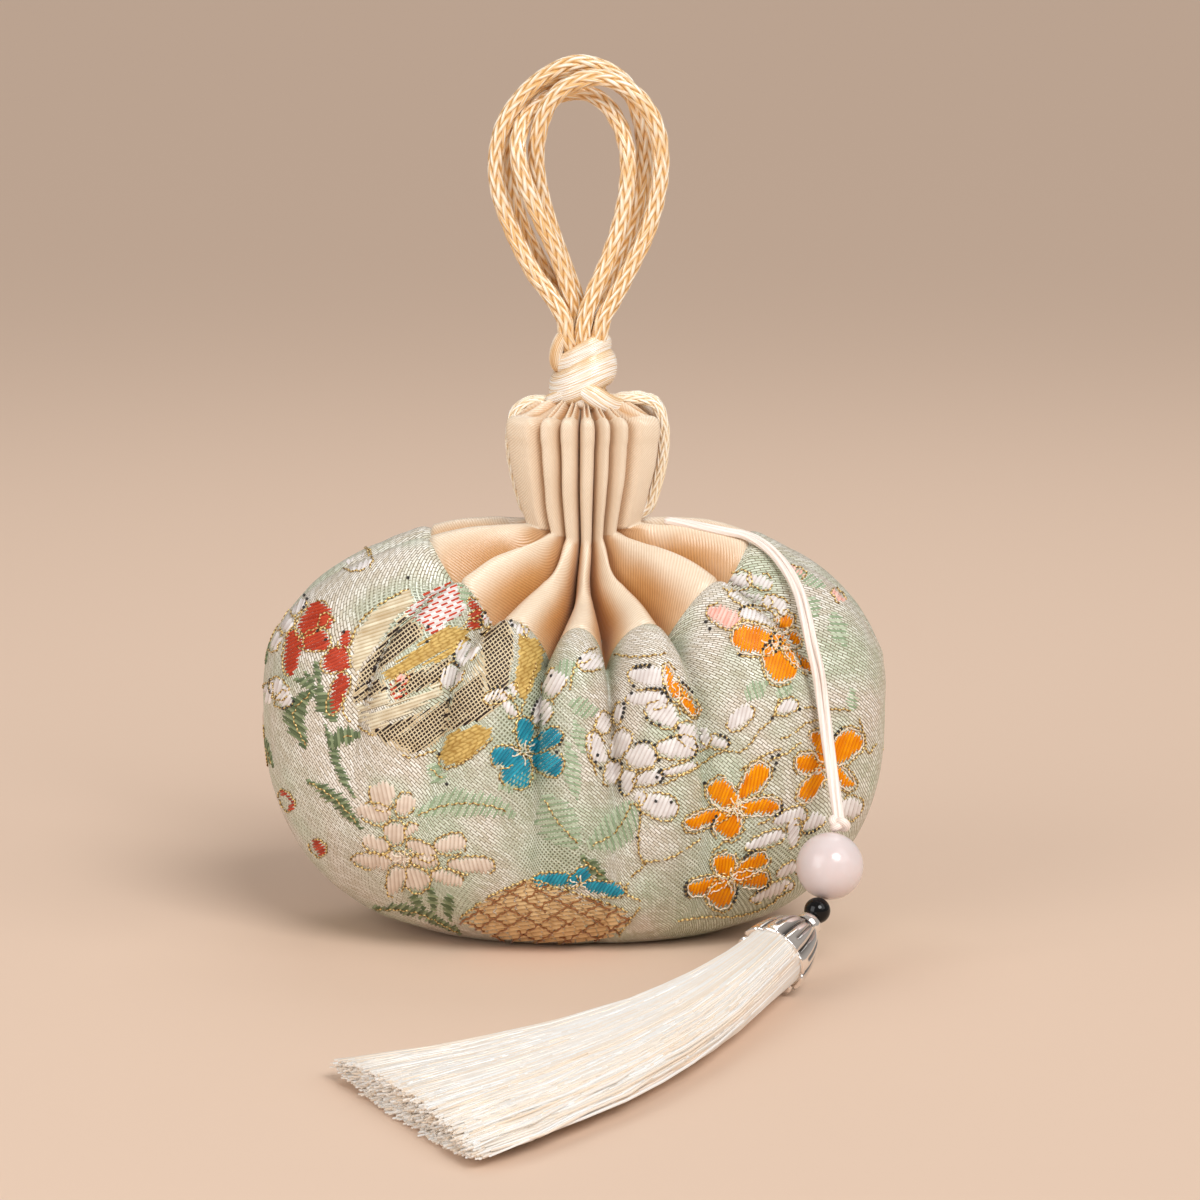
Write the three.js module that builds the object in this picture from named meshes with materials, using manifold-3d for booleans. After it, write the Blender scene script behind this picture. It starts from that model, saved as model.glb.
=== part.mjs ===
// Drawstring scented sachet: a filled brocade pouch gathered into a pleated satin ruffle and hung on
// knotted cord loops, with a beaded tassel that lies in front of it.
// Millimetres, +Z up, front towards -Y, origin at the middle of the pouch's flat base.
import * as THREE from "three";
import { mergeVertices } from "three/addons/utils/BufferGeometryUtils.js";
import Module from "manifold-3d";

// Pouch: overall size, and where its belly is widest at the sides and at the front
const POUCH_WIDTH = 115;
const POUCH_DEPTH = 68;
const SIDE_BULGE_HEIGHT = 43;
const FRONT_BULGE_HEIGHT = 36;
const PLAN_ROUNDNESS = 2.2;
const BELLY_ROUNDNESS = 2.5;
const BASE_FLATNESS = 0.935;

// Shoulder: from the belly up to the neck, full at the sides and drawn straight at the front
const SIDE_SHOULDER = 2.2;
const FRONT_SHOULDER = 0.9;
const SHOULDER_END = 2.2;
const SIDE_NARROWNESS = 4;

// Seam between brocade and satin, as a share of the way from the neck to the belly
const SEAM_AT_FRONT = 0.6;
const SEAM_AT_SIDE = 0.4;
const SEAM_SKEW = 0.04;
const SEAM_GAP = 0.4;
const SEAM_CORE_HEIGHT = 60;

// Neck and ruffle of the satin collar
const NECK_HEIGHT = 77;
const NECK_WIDTH = 23;
const NECK_DEPTH = 15;
const NECK_OFFSET = 1.6;
const RUFFLE_HEIGHT = 19;
const RUFFLE_WIDTH = 31;
const RUFFLE_DEPTH = 19;
const RUFFLE_ROUNDNESS = 2.6;
const RUFFLE_HEM = 0.5;
const RUFFLE_DIP = 1.2;

// Pleats: directions of the valleys between them, in degrees anticlockwise from the right-hand side
const BELLY_VALLEYS = [0, 27, 50, 76, 103, 129, 151, 180, 212, 230, 257, 284, 310, 335];
const RUFFLE_VALLEYS = [0, 47, 63, 79, 95, 113, 132, 180, 228, 246, 265, 282, 297, 312];
const PLEAT_POINTS = 6;
const SEAM_FOLD = 3.2;
const NECK_FOLD = 2.2;
const RUFFLE_FOLD = 2.6;
const PLEAT_ROUNDING = 1.7;
const SIDE_GROOVE_WIDTH = 13;
const SIDE_GROOVE_DEPTH = 4;

// Cords and the knot that gathers them
const CORD_DIAMETER = 2.8;
const CORD_SIDES = 8;
const CORD_STEP = 7;
const KNOT_DIAMETER = 9.8;
const KNOT_HEIGHT = 14;
const KNOT_BAND = 3.8;
const KNOT_BAND_RADIUS = 4.3;
const KNOT_BAND_TILT = -24;
const KNOT_BAND_HEIGHTS = [4.4, 8.6];
const TOUCH_GAP = 0.3;

// Pendant: thin doubled cord, beads and tassel
const PENDANT_DIAMETER = 1.4;
const PENDANT_SPACING = 1.75;
const PENDANT_STEP = 4;
const PENDANT_SAG = 0.5;
const STRING_DIAMETER = 0.9;
const BORE_DIAMETER = 1.7;
const STOP_KNOT_WIDTH = 4.4;
const STOP_KNOT_HEIGHT = 3;
const ROSE_BEAD_DIAMETER = 12;
const BLACK_BEAD_DIAMETER = 4.7;
const BEAD_HEADING = 240;
const BEAD_DROP = 64;
const CAP_HEADING = 235;
const CAP_DROP = 18;
const CAP_INSET = 23;
const CAP_FORWARD = 19;
const CAP_LENGTH = 14;
const CAP_RIM_DIAMETER = 12.8;
const CAP_COLLAR_DIAMETER = 4.8;
const CAP_COLLAR_LENGTH = 2.4;
const CAP_WALL = 0.7;
const CAP_LOBES = 9;
const CAP_FLUTE = 0.55;
const CAP_LIP = 0.8;

// Tassel: length past the cap's rim, and its section at the cut end
const TASSEL_LENGTH = 103;
const TASSEL_END_WIDTH = 50;
const TASSEL_END_THICKNESS = 7;
const TASSEL_HEADING_START = 250;
const TASSEL_HEADING_END = 214;
const TASSEL_RIBS = 11;
const TASSEL_RIB_DEPTH = 0.06;
const TASSEL_FIT = 0.3;

const { degToRad, lerp, smoothstep, clamp } = THREE.MathUtils;
const wasm = await Module();
wasm.setup();

// Plan radius of a rounded rectangle-like oval in one direction
function ovalRadius(angle, halfWidth, halfDepth, roundness) {
  const across = Math.abs(Math.cos(angle) / halfWidth) ** roundness;
  const along = Math.abs(Math.sin(angle) / halfDepth) ** roundness;
  return (across + along) ** (-1 / roundness);
}

// Direction of a pleat coordinate: whole numbers are valleys, halves are ridges
function pleatAngle(valleys, pleat) {
  const count = valleys.length;
  const index = Math.floor(pleat);
  const turn = (i) => valleys[((i % count) + count) % count] + 360 * Math.floor(i / count);
  return degToRad(lerp(turn(index), turn(index + 1), pleat - index));
}

// How much a direction belongs to the sides, from 0 at the front and back to 1
function sideShare(angle) {
  return Math.abs(Math.cos(angle)) ** SIDE_NARROWNESS;
}

// Where the seam crosses a direction, from 0 at the neck to 1 at the belly
function seamSpread(angle) {
  return lerp(SEAM_AT_FRONT, SEAM_AT_SIDE, sideShare(angle)) + SEAM_SKEW * Math.cos(angle);
}

// Radius and height of the unfolded shoulder; spread runs from 0 at the neck to 1 at the belly
function shoulderProfile(pleat, spread) {
  const belly = pleatAngle(BELLY_VALLEYS, pleat);
  const gather = 1 - smoothstep(spread / seamSpread(belly), 0, 1);
  const angle = lerp(belly, pleatAngle(RUFFLE_VALLEYS, pleat), gather);
  const side = sideShare(belly);
  const neckRadius = ovalRadius(angle, NECK_WIDTH / 2, NECK_DEPTH / 2, RUFFLE_ROUNDNESS);
  const bellyRadius = ovalRadius(angle, POUCH_WIDTH / 2, POUCH_DEPTH / 2, PLAN_ROUNDNESS);
  const bulge = lerp(FRONT_BULGE_HEIGHT, SIDE_BULGE_HEIGHT, side);
  const fullness = lerp(lerp(FRONT_SHOULDER, SIDE_SHOULDER, side), SHOULDER_END, spread * spread);
  const rise = Math.max(0, 1 - spread ** fullness) ** (1 / fullness);
  return { angle, radius: lerp(neckRadius, bellyRadius, spread), height: lerp(bulge, NECK_HEIGHT, rise) };
}

// Depth of the gathers: deepest at the seam, gone at the belly
function gatherDepth(pleat, spread) {
  const seam = seamSpread(pleatAngle(BELLY_VALLEYS, pleat));
  const valley = (1 + Math.cos(2 * Math.PI * pleat)) / 2;
  const fade = 1 - smoothstep((spread - seam) / (1 - seam), 0, 1);
  const depth = spread < seam ? lerp(NECK_FOLD, SEAM_FOLD, spread / seam) : SEAM_FOLD * fade;
  return depth * valley;
}

// A point over the shoulder, a given distance out from the unfolded cloth
function shoulderPoint(pleat, spread, standOff) {
  const nudge = 0.002;
  const here = shoulderProfile(pleat, spread);
  const inner = shoulderProfile(pleat, Math.max(0, spread - nudge));
  const outer = shoulderProfile(pleat, Math.min(1, spread + nudge));
  const slope = Math.hypot(outer.radius - inner.radius, outer.height - inner.height);
  const outward = (inner.height - outer.height) / slope;
  const upward = (outer.radius - inner.radius) / slope;
  const radius = here.radius + standOff * outward;
  const x = NECK_OFFSET * (1 - spread) + radius * Math.cos(here.angle);
  return new THREE.Vector3(x, radius * Math.sin(here.angle), here.height + standOff * upward);
}

// A point of the gathered cloth itself
function clothPoint(pleat, spread) {
  return shoulderPoint(pleat, spread, -gatherDepth(pleat, spread));
}

// A point of the belly under its widest line, down to the flat base
function bellyPoint(pleat, spread) {
  const angle = pleatAngle(BELLY_VALLEYS, pleat);
  const radius = spread * ovalRadius(angle, POUCH_WIDTH / 2, POUCH_DEPTH / 2, PLAN_ROUNDNESS);
  const bulge = lerp(FRONT_BULGE_HEIGHT, SIDE_BULGE_HEIGHT, sideShare(angle));
  const fall = Math.max(0, 1 - spread ** BELLY_ROUNDNESS) ** (1 / BELLY_ROUNDNESS);
  const height = bulge * Math.max(0, 1 - fall / BASE_FLATNESS);
  return new THREE.Vector3(radius * Math.cos(angle), radius * Math.sin(angle), height);
}

// How far in the ruffle is folded: round pleats, and a wide groove at each side for the drawstrings
function rufflePleat(pleat, radius) {
  const index = Math.floor(pleat);
  const span = radius * (pleatAngle(RUFFLE_VALLEYS, index + 1) - pleatAngle(RUFFLE_VALLEYS, index));
  const before = (pleat - index) * span;
  const after = span - before;
  const nearest = before < after ? index : index + 1;
  const distance = Math.min(before, after);
  if (nearest % (RUFFLE_VALLEYS.length / 2) === 0) {
    const groove = (1 + Math.cos(Math.PI * Math.min(1, 2 * distance / SIDE_GROOVE_WIDTH))) / 2;
    return groove * SIDE_GROOVE_DEPTH / RUFFLE_FOLD;
  }
  const steep = clamp(1 - distance / PLEAT_ROUNDING, 0, 1);
  return 1 - Math.sqrt(1 - steep * steep);
}

// A point of the ruffle on an oval of the given half sizes
function rufflePoint(pleat, halfWidth, halfDepth, height, fold) {
  const angle = pleatAngle(RUFFLE_VALLEYS, pleat);
  const oval = ovalRadius(angle, halfWidth, halfDepth, RUFFLE_ROUNDNESS);
  const radius = oval - fold * rufflePleat(pleat, oval);
  return new THREE.Vector3(NECK_OFFSET + radius * Math.cos(angle), radius * Math.sin(angle), height);
}

// One ring of points round all the pleats
function pleatRing(pointAt) {
  const count = BELLY_VALLEYS.length * PLEAT_POINTS;
  return Array.from({ length: count }, (_, i) => pointAt(i / PLEAT_POINTS));
}

// A closed skin over rings that climb anticlockwise: ends are fans to a middle, or the rings join up
function skin(rings, { bottom = null, top = null } = {}) {
  const count = rings[0].length;
  const points = rings.flat();
  const faces = [];
  const isLoop = bottom === null;
  const bands = isLoop ? rings.length : rings.length - 1;
  for (let i = 0; i < bands; i += 1) {
    const low = i * count;
    const high = ((i + 1) % rings.length) * count;
    for (let j = 0; j < count; j += 1) {
      const next = (j + 1) % count;
      faces.push(low + j, low + next, high + next, low + j, high + next, high + j);
    }
  }
  if (!isLoop) {
    const last = (rings.length - 1) * count;
    const bottomIndex = points.push(bottom) - 1;
    const topIndex = points.push(top) - 1;
    for (let j = 0; j < count; j += 1) {
      const next = (j + 1) % count;
      faces.push(bottomIndex, next, j, topIndex, last + j, last + next);
    }
  }
  const geometry = new THREE.BufferGeometry().setFromPoints(points);
  geometry.setIndex(faces);
  geometry.computeVertexNormals();
  return geometry;
}

// Even steps from one value to another, both included
function steps(from, to, count) {
  return Array.from({ length: count + 1 }, (_, i) => lerp(from, to, i / count));
}

// Brocade body: flat base, full belly and gathers that rise to the seam
function brocadeBody() {
  const baseSpread = (1 - BASE_FLATNESS ** BELLY_ROUNDNESS) ** (1 / BELLY_ROUNDNESS);
  const rings = steps(Math.acos(baseSpread), 0, 6).map((turn) => {
    return pleatRing((pleat) => bellyPoint(pleat, Math.cos(turn)));
  });
  for (const share of steps(0, 1, 6).slice(1)) {
    rings.push(pleatRing((pleat) => {
      const seam = seamSpread(pleatAngle(BELLY_VALLEYS, pleat));
      return clothPoint(pleat, lerp(1, seam, share));
    }));
  }
  const bottom = new THREE.Vector3(0, 0, 0);
  const top = new THREE.Vector3(0, 0, SEAM_CORE_HEIGHT);
  return skin(rings, { bottom, top });
}

// Satin collar: shoulder gathers from the seam to the neck, then the ruffle and its folded top
function satinCollar() {
  const seamStep = SEAM_GAP / (POUCH_DEPTH / 2);
  const rings = steps(1, 0, 5).slice(0, -1).map((share) => pleatRing((pleat) => {
    const seam = seamSpread(pleatAngle(BELLY_VALLEYS, pleat)) - seamStep;
    return clothPoint(pleat, share * seam);
  }));
  for (const share of steps(0, 1, 5)) {
    const flare = Math.sin(share * Math.PI / 2);
    const halfWidth = lerp(NECK_WIDTH, RUFFLE_WIDTH, flare) / 2;
    const halfDepth = lerp(NECK_DEPTH, RUFFLE_DEPTH, flare) / 2;
    const fold = lerp(NECK_FOLD, RUFFLE_FOLD, share);
    const height = NECK_HEIGHT + RUFFLE_HEIGHT * share;
    rings.push(pleatRing((pleat) => rufflePoint(pleat, halfWidth, halfDepth, height, fold)));
  }
  const rim = NECK_HEIGHT + RUFFLE_HEIGHT;
  const topRings = [[0.9, RUFFLE_HEM], [0.62, -RUFFLE_DIP], [0.3, 0]];
  for (const [share, lift] of topRings) {
    rings.push(pleatRing((pleat) => {
      return rufflePoint(pleat, share * RUFFLE_WIDTH / 2, share * RUFFLE_DEPTH / 2, rim + lift, share * RUFFLE_FOLD);
    }));
  }
  const bottom = new THREE.Vector3(0, 0, SEAM_CORE_HEIGHT + 2 * SEAM_GAP);
  const top = new THREE.Vector3(NECK_OFFSET, 0, rim + RUFFLE_HEM);
  return skin(rings, { bottom, top });
}

// A round cord along a smooth curve through the given points
function cord(points, diameter, step) {
  const path = new THREE.CatmullRomCurve3(points);
  const corners = steps(0, 2 * Math.PI, CORD_SIDES).slice(0, -1);
  const section = new THREE.Shape(corners.map((turn) => {
    return new THREE.Vector2(Math.cos(turn) * diameter / 2, Math.sin(turn) * diameter / 2);
  }));
  return new THREE.ExtrudeGeometry(section, { steps: Math.ceil(path.getLength() / step), extrudePath: path });
}

// A closed geometry as a solid that can be joined and cut
function solid(geometry) {
  const bare = geometry.clone();
  bare.deleteAttribute("normal");
  bare.deleteAttribute("uv");
  const merged = mergeVertices(bare, 1e-4);
  return new wasm.Manifold(new wasm.Mesh({
    numProp: 3,
    vertProperties: merged.attributes.position.array,
    triVerts: new Uint32Array(merged.index.array),
  }));
}

// A solid as a geometry again
function shape(body) {
  const mesh = body.getMesh();
  const geometry = new THREE.BufferGeometry();
  geometry.setAttribute("position", new THREE.BufferAttribute(mesh.vertProperties, 3));
  geometry.setIndex(new THREE.BufferAttribute(mesh.triVerts, 1));
  geometry.computeVertexNormals();
  return geometry;
}

// Cord knot: a barrel of packed cord under two slanting wraps, with its foot at the local origin
function cordKnot() {
  const radius = KNOT_DIAMETER / 2;
  const barrel = new THREE.LatheGeometry([
    new THREE.Vector2(0, 0),
    new THREE.Vector2(radius * 0.6, 0),
    new THREE.Vector2(radius * 0.95, KNOT_HEIGHT * 0.2),
    new THREE.Vector2(radius, KNOT_HEIGHT * 0.6),
    new THREE.Vector2(radius * 0.97, KNOT_HEIGHT),
    new THREE.Vector2(0, KNOT_HEIGHT),
  ], 18).rotateX(Math.PI / 2);
  let knot = solid(barrel);
  for (const height of KNOT_BAND_HEIGHTS) {
    const band = new THREE.TorusGeometry(KNOT_BAND_RADIUS, KNOT_BAND / 2, 8, 18);
    band.rotateY(degToRad(KNOT_BAND_TILT));
    band.translate(0, 0, height);
    knot = knot.add(solid(band));
  }
  return shape(knot);
}

// Hanging loops: each route from the knot's top, up, over and back down, relative to that top
const HANDLE_ROUTES = [
  [
    [-3.1, -2.7, 0.4], [-3.4, -2.7, 3], [-6, -2.4, 7.5], [-9, -2, 11.5], [-13, -1.4, 19.5],
    [-15.5, -1, 27], [-15.7, -0.6, 33], [-14.4, -0.3, 38.4], [-11, -0.2, 43.5], [-6.5, 0, 47.3],
    [-1.4, 0, 49.4], [3.6, 0.4, 48.5], [7.8, 1.2, 45.5], [10.2, 1.9, 40], [11.2, 2, 33.5],
    [10.6, 1.8, 26], [8.4, 1.5, 19], [5.6, 1, 12.5], [3.2, 0.5, 7], [1.8, 0.1, 3], [1.55, 0, 0.4],
  ],
  [
    [0, 2.7, 0.4], [-0.3, 2.7, 3], [-1.4, 2.4, 7], [-3.2, 2, 12], [-5.4, 1.6, 18],
    [-7.5, 0.9, 25], [-8.5, -0.4, 31.5], [-8, -2, 37], [-6.2, -2.9, 42], [-3, -3.3, 45.3],
    [1.8, -3.4, 46.9], [6.5, -3.3, 46], [10.5, -3.1, 42.9], [13.4, -2.8, 37.9], [14.2, -2.7, 31.4],
    [13.5, -2.6, 25.4], [11.7, -2.6, 19], [8.8, -2.6, 12.8], [5.8, -2.7, 7], [3.6, -2.7, 3], [3.1, -2.7, 0.4],
  ],
  [
    [-1.55, 0, 0.4], [-1.7, -0.1, 3], [-2.6, -0.8, 8], [-4.6, -2, 14.5], [-7.6, -3.4, 21.2],
    [-10.6, -4, 28.3], [-11.8, -3.7, 33.5], [-11.3, -1.6, 37.5], [-9.6, 1.4, 40.6], [-6.6, 2.5, 42.8],
    [-3.4, 2.6, 43.8], [0, 2.4, 44.1], [3.6, 1.8, 42.4], [6.6, 0.4, 38.4], [8.1, -0.9, 33], [8, -1.5, 27],
    [6.6, -1.9, 20], [4.4, -2.3, 13.5], [2, -2.6, 8], [0.4, -2.7, 3.4], [0, -2.7, 0.4],
  ],
  [
    [-3.1, 2.7, 0.4], [-3.5, 2.8, 3], [-5.4, 3, 8], [-8.2, 3.2, 13.5], [-11.3, 3.3, 20],
    [-13.3, 3.4, 27], [-13.7, 3.6, 33], [-12.4, 4.2, 38.5], [-9.2, 5.1, 43.4], [-4, 5.4, 46.4],
    [1, 5.4, 47.2], [6, 5.2, 45.8], [10, 5.1, 42], [12.6, 5, 36.5], [13.2, 4.9, 30],
    [12.2, 4.6, 23.5], [9.8, 4.2, 17], [7, 3.6, 11], [4.6, 3, 6], [3.3, 2.7, 3], [3.1, 2.7, 0.4],
  ],
];

// Drawstring ends: each route over the ruffle's rim and down its side groove, relative to the rim's middle
const DRAWSTRING_SPACING = 3.2;
const LEFT_DRAWSTRING = [
  [-6.2, 2.4], [-8.2, 2.8], [-11, 2.9], [-13.7, 1.6], [-14.6, -2], [-14.6, -6], [-14, -10.5],
  [-13, -14.5], [-11.9, -17.2],
];
const RIGHT_DRAWSTRING = [
  [5, 2.4], [7.2, 3], [10.3, 3.2], [13.4, 2.1], [14.7, -1.6], [14.8, -5.5], [14.2, -10], [13.1, -14], [11.9, -17.2],
];

// Pendant cord: where it lies on the right shoulder, as pleat coordinate and spread from neck to belly
const PENDANT_ROUTE = [
  [13.6, 0.1], [13.52, 0.18], [13.49, 0.28], [13.5, 0.36], [13.5, 0.44], [13.4, 0.55],
  [13.26, 0.66], [13.13, 0.76], [13, 0.85], [12.93, 0.91], [12.9, 0.96], [12.89, 0.985],
];

// A unit vector from a heading round the upright axis and a drop under the horizontal, in degrees
function direction(heading, drop) {
  const level = Math.cos(degToRad(drop));
  const turn = degToRad(heading);
  return new THREE.Vector3(level * Math.cos(turn), level * Math.sin(turn), -Math.sin(degToRad(drop)));
}

// Pendant chain, worked out upwards from the cap whose rim rests on the table
function pendantChain() {
  const beadAxis = direction(BEAD_HEADING, BEAD_DROP);
  const capAxis = direction(CAP_HEADING, CAP_DROP);
  const spacerAxis = beadAxis.clone().add(capAxis).normalize();
  const rimHeight = (CAP_RIM_DIAMETER / 2) * Math.cos(degToRad(CAP_DROP)) + TOUCH_GAP;
  const rim = new THREE.Vector3(POUCH_WIDTH / 2 - CAP_INSET, -POUCH_DEPTH / 2 - CAP_FORWARD, rimHeight);
  const capTop = rim.clone().addScaledVector(capAxis, -CAP_LENGTH);
  const spacerExit = capTop.clone().addScaledVector(capAxis, -TOUCH_GAP);
  const spacer = spacerExit.clone().addScaledVector(spacerAxis, -BLACK_BEAD_DIAMETER / 2);
  const spacerEntry = spacer.clone().addScaledVector(spacerAxis, -BLACK_BEAD_DIAMETER / 2);
  const bead = spacerEntry.clone().addScaledVector(beadAxis, -TOUCH_GAP - ROSE_BEAD_DIAMETER / 2);
  const knotReach = ROSE_BEAD_DIAMETER / 2 + TOUCH_GAP + STOP_KNOT_HEIGHT / 2;
  const stopKnot = bead.clone().addScaledVector(beadAxis, -knotReach);
  return { beadAxis, capAxis, spacerAxis, rim, capTop, spacerExit, spacer, spacerEntry, bead, stopKnot };
}

// One strand of the pendant cord: along the shoulder, then hanging free to the stop knot
function pendantStrand(chain, side) {
  const standOff = PENDANT_DIAMETER / 2 + TOUCH_GAP;
  const nudge = 0.05;
  const points = PENDANT_ROUTE.map(([pleat, spread]) => {
    const before = shoulderPoint(pleat - nudge, spread, standOff);
    const width = shoulderPoint(pleat + nudge, spread, standOff).distanceTo(before);
    return shoulderPoint(pleat + side * nudge * PENDANT_SPACING / width, spread, standOff);
  });
  const leave = points[points.length - 1];
  const across = new THREE.Vector3(0, 0, 1).cross(chain.beadAxis).normalize();
  const knotTop = chain.stopKnot.clone();
  knotTop.addScaledVector(chain.beadAxis, -STOP_KNOT_HEIGHT / 2 - 2 * TOUCH_GAP);
  knotTop.addScaledVector(across, side * PENDANT_SPACING / 2);
  for (const share of [0.35, 0.7]) {
    const hang = leave.clone().lerp(knotTop, share);
    hang.z -= PENDANT_SAG * 4 * share * (1 - share);
    points.push(hang);
  }
  points.push(knotTop);
  return cord(points, PENDANT_DIAMETER, PENDANT_STEP);
}

// Small two-lobed stop knot, upright at the local origin
function stopKnot() {
  const lobeRadius = STOP_KNOT_HEIGHT / 2;
  const reach = STOP_KNOT_WIDTH / 2 - lobeRadius;
  const left = new THREE.SphereGeometry(lobeRadius, 10, 6).translate(-reach, 0, 0);
  const right = new THREE.SphereGeometry(lobeRadius, 10, 6).translate(reach, 0, 0);
  return shape(solid(left).add(solid(right)));
}

// A round bead bored along its upright axis
function bead(diameter, segments) {
  const radius = diameter / 2;
  const bore = BORE_DIAMETER / 2;
  const reach = Math.acos(bore / radius);
  const outline = steps(-reach, reach, segments / 2).map((turn) => {
    return new THREE.Vector2(radius * Math.cos(turn), radius * Math.sin(turn));
  });
  outline.push(outline[0].clone());
  return new THREE.LatheGeometry(outline, segments).rotateX(Math.PI / 2);
}

// Smooth radius inside the cap at a depth under its top
function capBore(depth) {
  const share = clamp((depth - CAP_COLLAR_LENGTH) / (CAP_LENGTH - CAP_COLLAR_LENGTH), 0, 1);
  const bell = Math.sin(share * Math.PI / 2) ** 0.8;
  return lerp(CAP_COLLAR_DIAMETER, CAP_RIM_DIAMETER, bell) / 2 - CAP_WALL - CAP_FLUTE;
}

// Tassel cap: a ringed collar and a fluted bell with a scalloped lip, its top at the local origin
function tasselCap() {
  const count = CAP_LOBES * 4;
  const ring = (radiusAt, depthAt) => Array.from({ length: count }, (_, i) => {
    const turn = (i / count) * 2 * Math.PI;
    const groove = (1 - Math.abs(Math.sin(turn * CAP_LOBES / 2))) ** 1.5;
    const radius = radiusAt(groove);
    return new THREE.Vector3(radius * Math.cos(turn), radius * Math.sin(turn), -depthAt(groove));
  });
  const outer = (depth) => capBore(depth) + CAP_WALL + CAP_FLUTE;
  const lip = (groove) => CAP_LENGTH - CAP_LIP * groove;
  const collar = CAP_COLLAR_DIAMETER / 2;
  const hole = BORE_DIAMETER / 2;
  const rings = [ring((groove) => outer(CAP_LENGTH) - CAP_FLUTE * groove, lip)];
  for (const depth of steps(CAP_LENGTH - 2 * CAP_LIP, CAP_COLLAR_LENGTH + CAP_WALL, 5)) {
    const share = (depth - CAP_COLLAR_LENGTH) / (CAP_LENGTH - CAP_COLLAR_LENGTH);
    const flute = CAP_FLUTE * Math.min(1, 2 * share);
    rings.push(ring((groove) => outer(depth) - flute * groove, () => depth));
  }
  rings.push(ring(() => collar * 0.86, () => CAP_COLLAR_LENGTH));
  rings.push(ring(() => collar, () => CAP_COLLAR_LENGTH * 0.65));
  rings.push(ring(() => collar, () => CAP_COLLAR_LENGTH * 0.3));
  rings.push(ring(() => collar * 0.84, () => 0));
  rings.push(ring(() => hole, () => 0));
  rings.push(ring(() => hole, () => CAP_COLLAR_LENGTH + CAP_WALL));
  for (const depth of steps(CAP_COLLAR_LENGTH + 2 * CAP_WALL, CAP_LENGTH - 2 * CAP_LIP, 3)) {
    rings.push(ring(() => capBore(depth), () => depth));
  }
  return skin(rings);
}

// Tassel: the bound head inside the cap, then a ribbed bundle that flattens and fans out on the table
function tasselSkirt(chain) {
  const headDepths = steps(CAP_COLLAR_LENGTH + 4 * CAP_WALL, CAP_LENGTH - CAP_LIP, 3);
  const count = TASSEL_RIBS * 4;
  const upright = new THREE.Vector3(0, 0, 1);
  const ring = (middle, ahead, halfWidth, halfThickness) => {
    const left = upright.clone().cross(ahead).normalize();
    const up = ahead.clone().cross(left);
    return Array.from({ length: count }, (_, i) => {
      const turn = (i / count) * 2 * Math.PI;
      const swell = 1 + TASSEL_RIB_DEPTH * (Math.cos(turn * TASSEL_RIBS) - 1) / 2;
      const point = middle.clone();
      point.addScaledVector(left, swell * halfWidth * Math.cos(turn));
      point.addScaledVector(up, swell * halfThickness * Math.sin(turn));
      point.z = Math.max(0, point.z);
      return point;
    });
  };
  const headRadius = (depth) => capBore(depth) - TASSEL_FIT;
  const rings = headDepths.map((depth) => {
    const middle = chain.capTop.clone().addScaledVector(chain.capAxis, depth);
    return ring(middle, chain.capAxis, headRadius(depth), headRadius(depth));
  });
  const rimRadius = headRadius(CAP_LENGTH);
  const middle = chain.rim.clone();
  const stepCount = 12;
  const stepLength = TASSEL_LENGTH / stepCount;
  for (const share of steps(0, 1, stepCount).slice(1)) {
    const settle = 1 - smoothstep(share, 0, 0.4);
    const heading = lerp(TASSEL_HEADING_START, TASSEL_HEADING_END, share);
    const ahead = direction(heading, CAP_DROP * settle);
    const halfWidth = lerp(rimRadius, TASSEL_END_WIDTH / 2, share ** 1.5);
    const halfThickness = lerp(rimRadius, TASSEL_END_THICKNESS / 2, share);
    middle.addScaledVector(ahead, stepLength);
    middle.z = lerp(halfThickness, chain.rim.z, settle);
    rings.push(ring(middle, ahead, halfWidth, halfThickness));
  }
  const bottom = chain.capTop.clone().addScaledVector(chain.capAxis, headDepths[0]);
  return skin(rings, { bottom, top: middle.clone() });
}

// Bead thread: from the stop knot through both bores and the cap's hole to the tassel's head
function beadString(chain) {
  const start = chain.stopKnot.clone().addScaledVector(chain.beadAxis, STOP_KNOT_HEIGHT / 2 + TOUCH_GAP);
  const beadExit = chain.bead.clone().addScaledVector(chain.beadAxis, ROSE_BEAD_DIAMETER / 2);
  const headTop = CAP_COLLAR_LENGTH + 4 * CAP_WALL - TOUCH_GAP;
  const end = chain.capTop.clone().addScaledVector(chain.capAxis, headTop);
  const inCap = chain.capTop.clone().addScaledVector(chain.capAxis, CAP_COLLAR_LENGTH / 2);
  const points = [start, chain.bead, beadExit, chain.spacerEntry, chain.spacer, chain.spacerExit, inCap, end];
  return cord(points, STRING_DIAMETER, 2 * STRING_DIAMETER);
}

// Finishes
function finish(color, roughness, metalness = 0) {
  return new THREE.MeshStandardMaterial({ color, roughness, metalness });
}
const brocade = finish(0xc3c4ae, 0.6);
const satin = finish(0xecd5b2, 0.45);
const braid = finish(0xe6c48c, 0.5);
const thinCord = finish(0xf0ded2, 0.6);
const roseStone = finish(0xe8d7d4, 0.15);
const blackGlass = finish(0x111114, 0.1);
const silver = finish(0xc8c8c6, 0.2, 1);
const tasselThread = finish(0xf8eee0, 0.6);

// Assembly
const sachet = new THREE.Group();
function place(name, geometry, material, parent = sachet) {
  const mesh = new THREE.Mesh(geometry, material);
  mesh.name = name;
  parent.add(mesh);
  return mesh;
}
place("brocade_body", brocadeBody(), brocade);
place("satin_collar", satinCollar(), satin);

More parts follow.
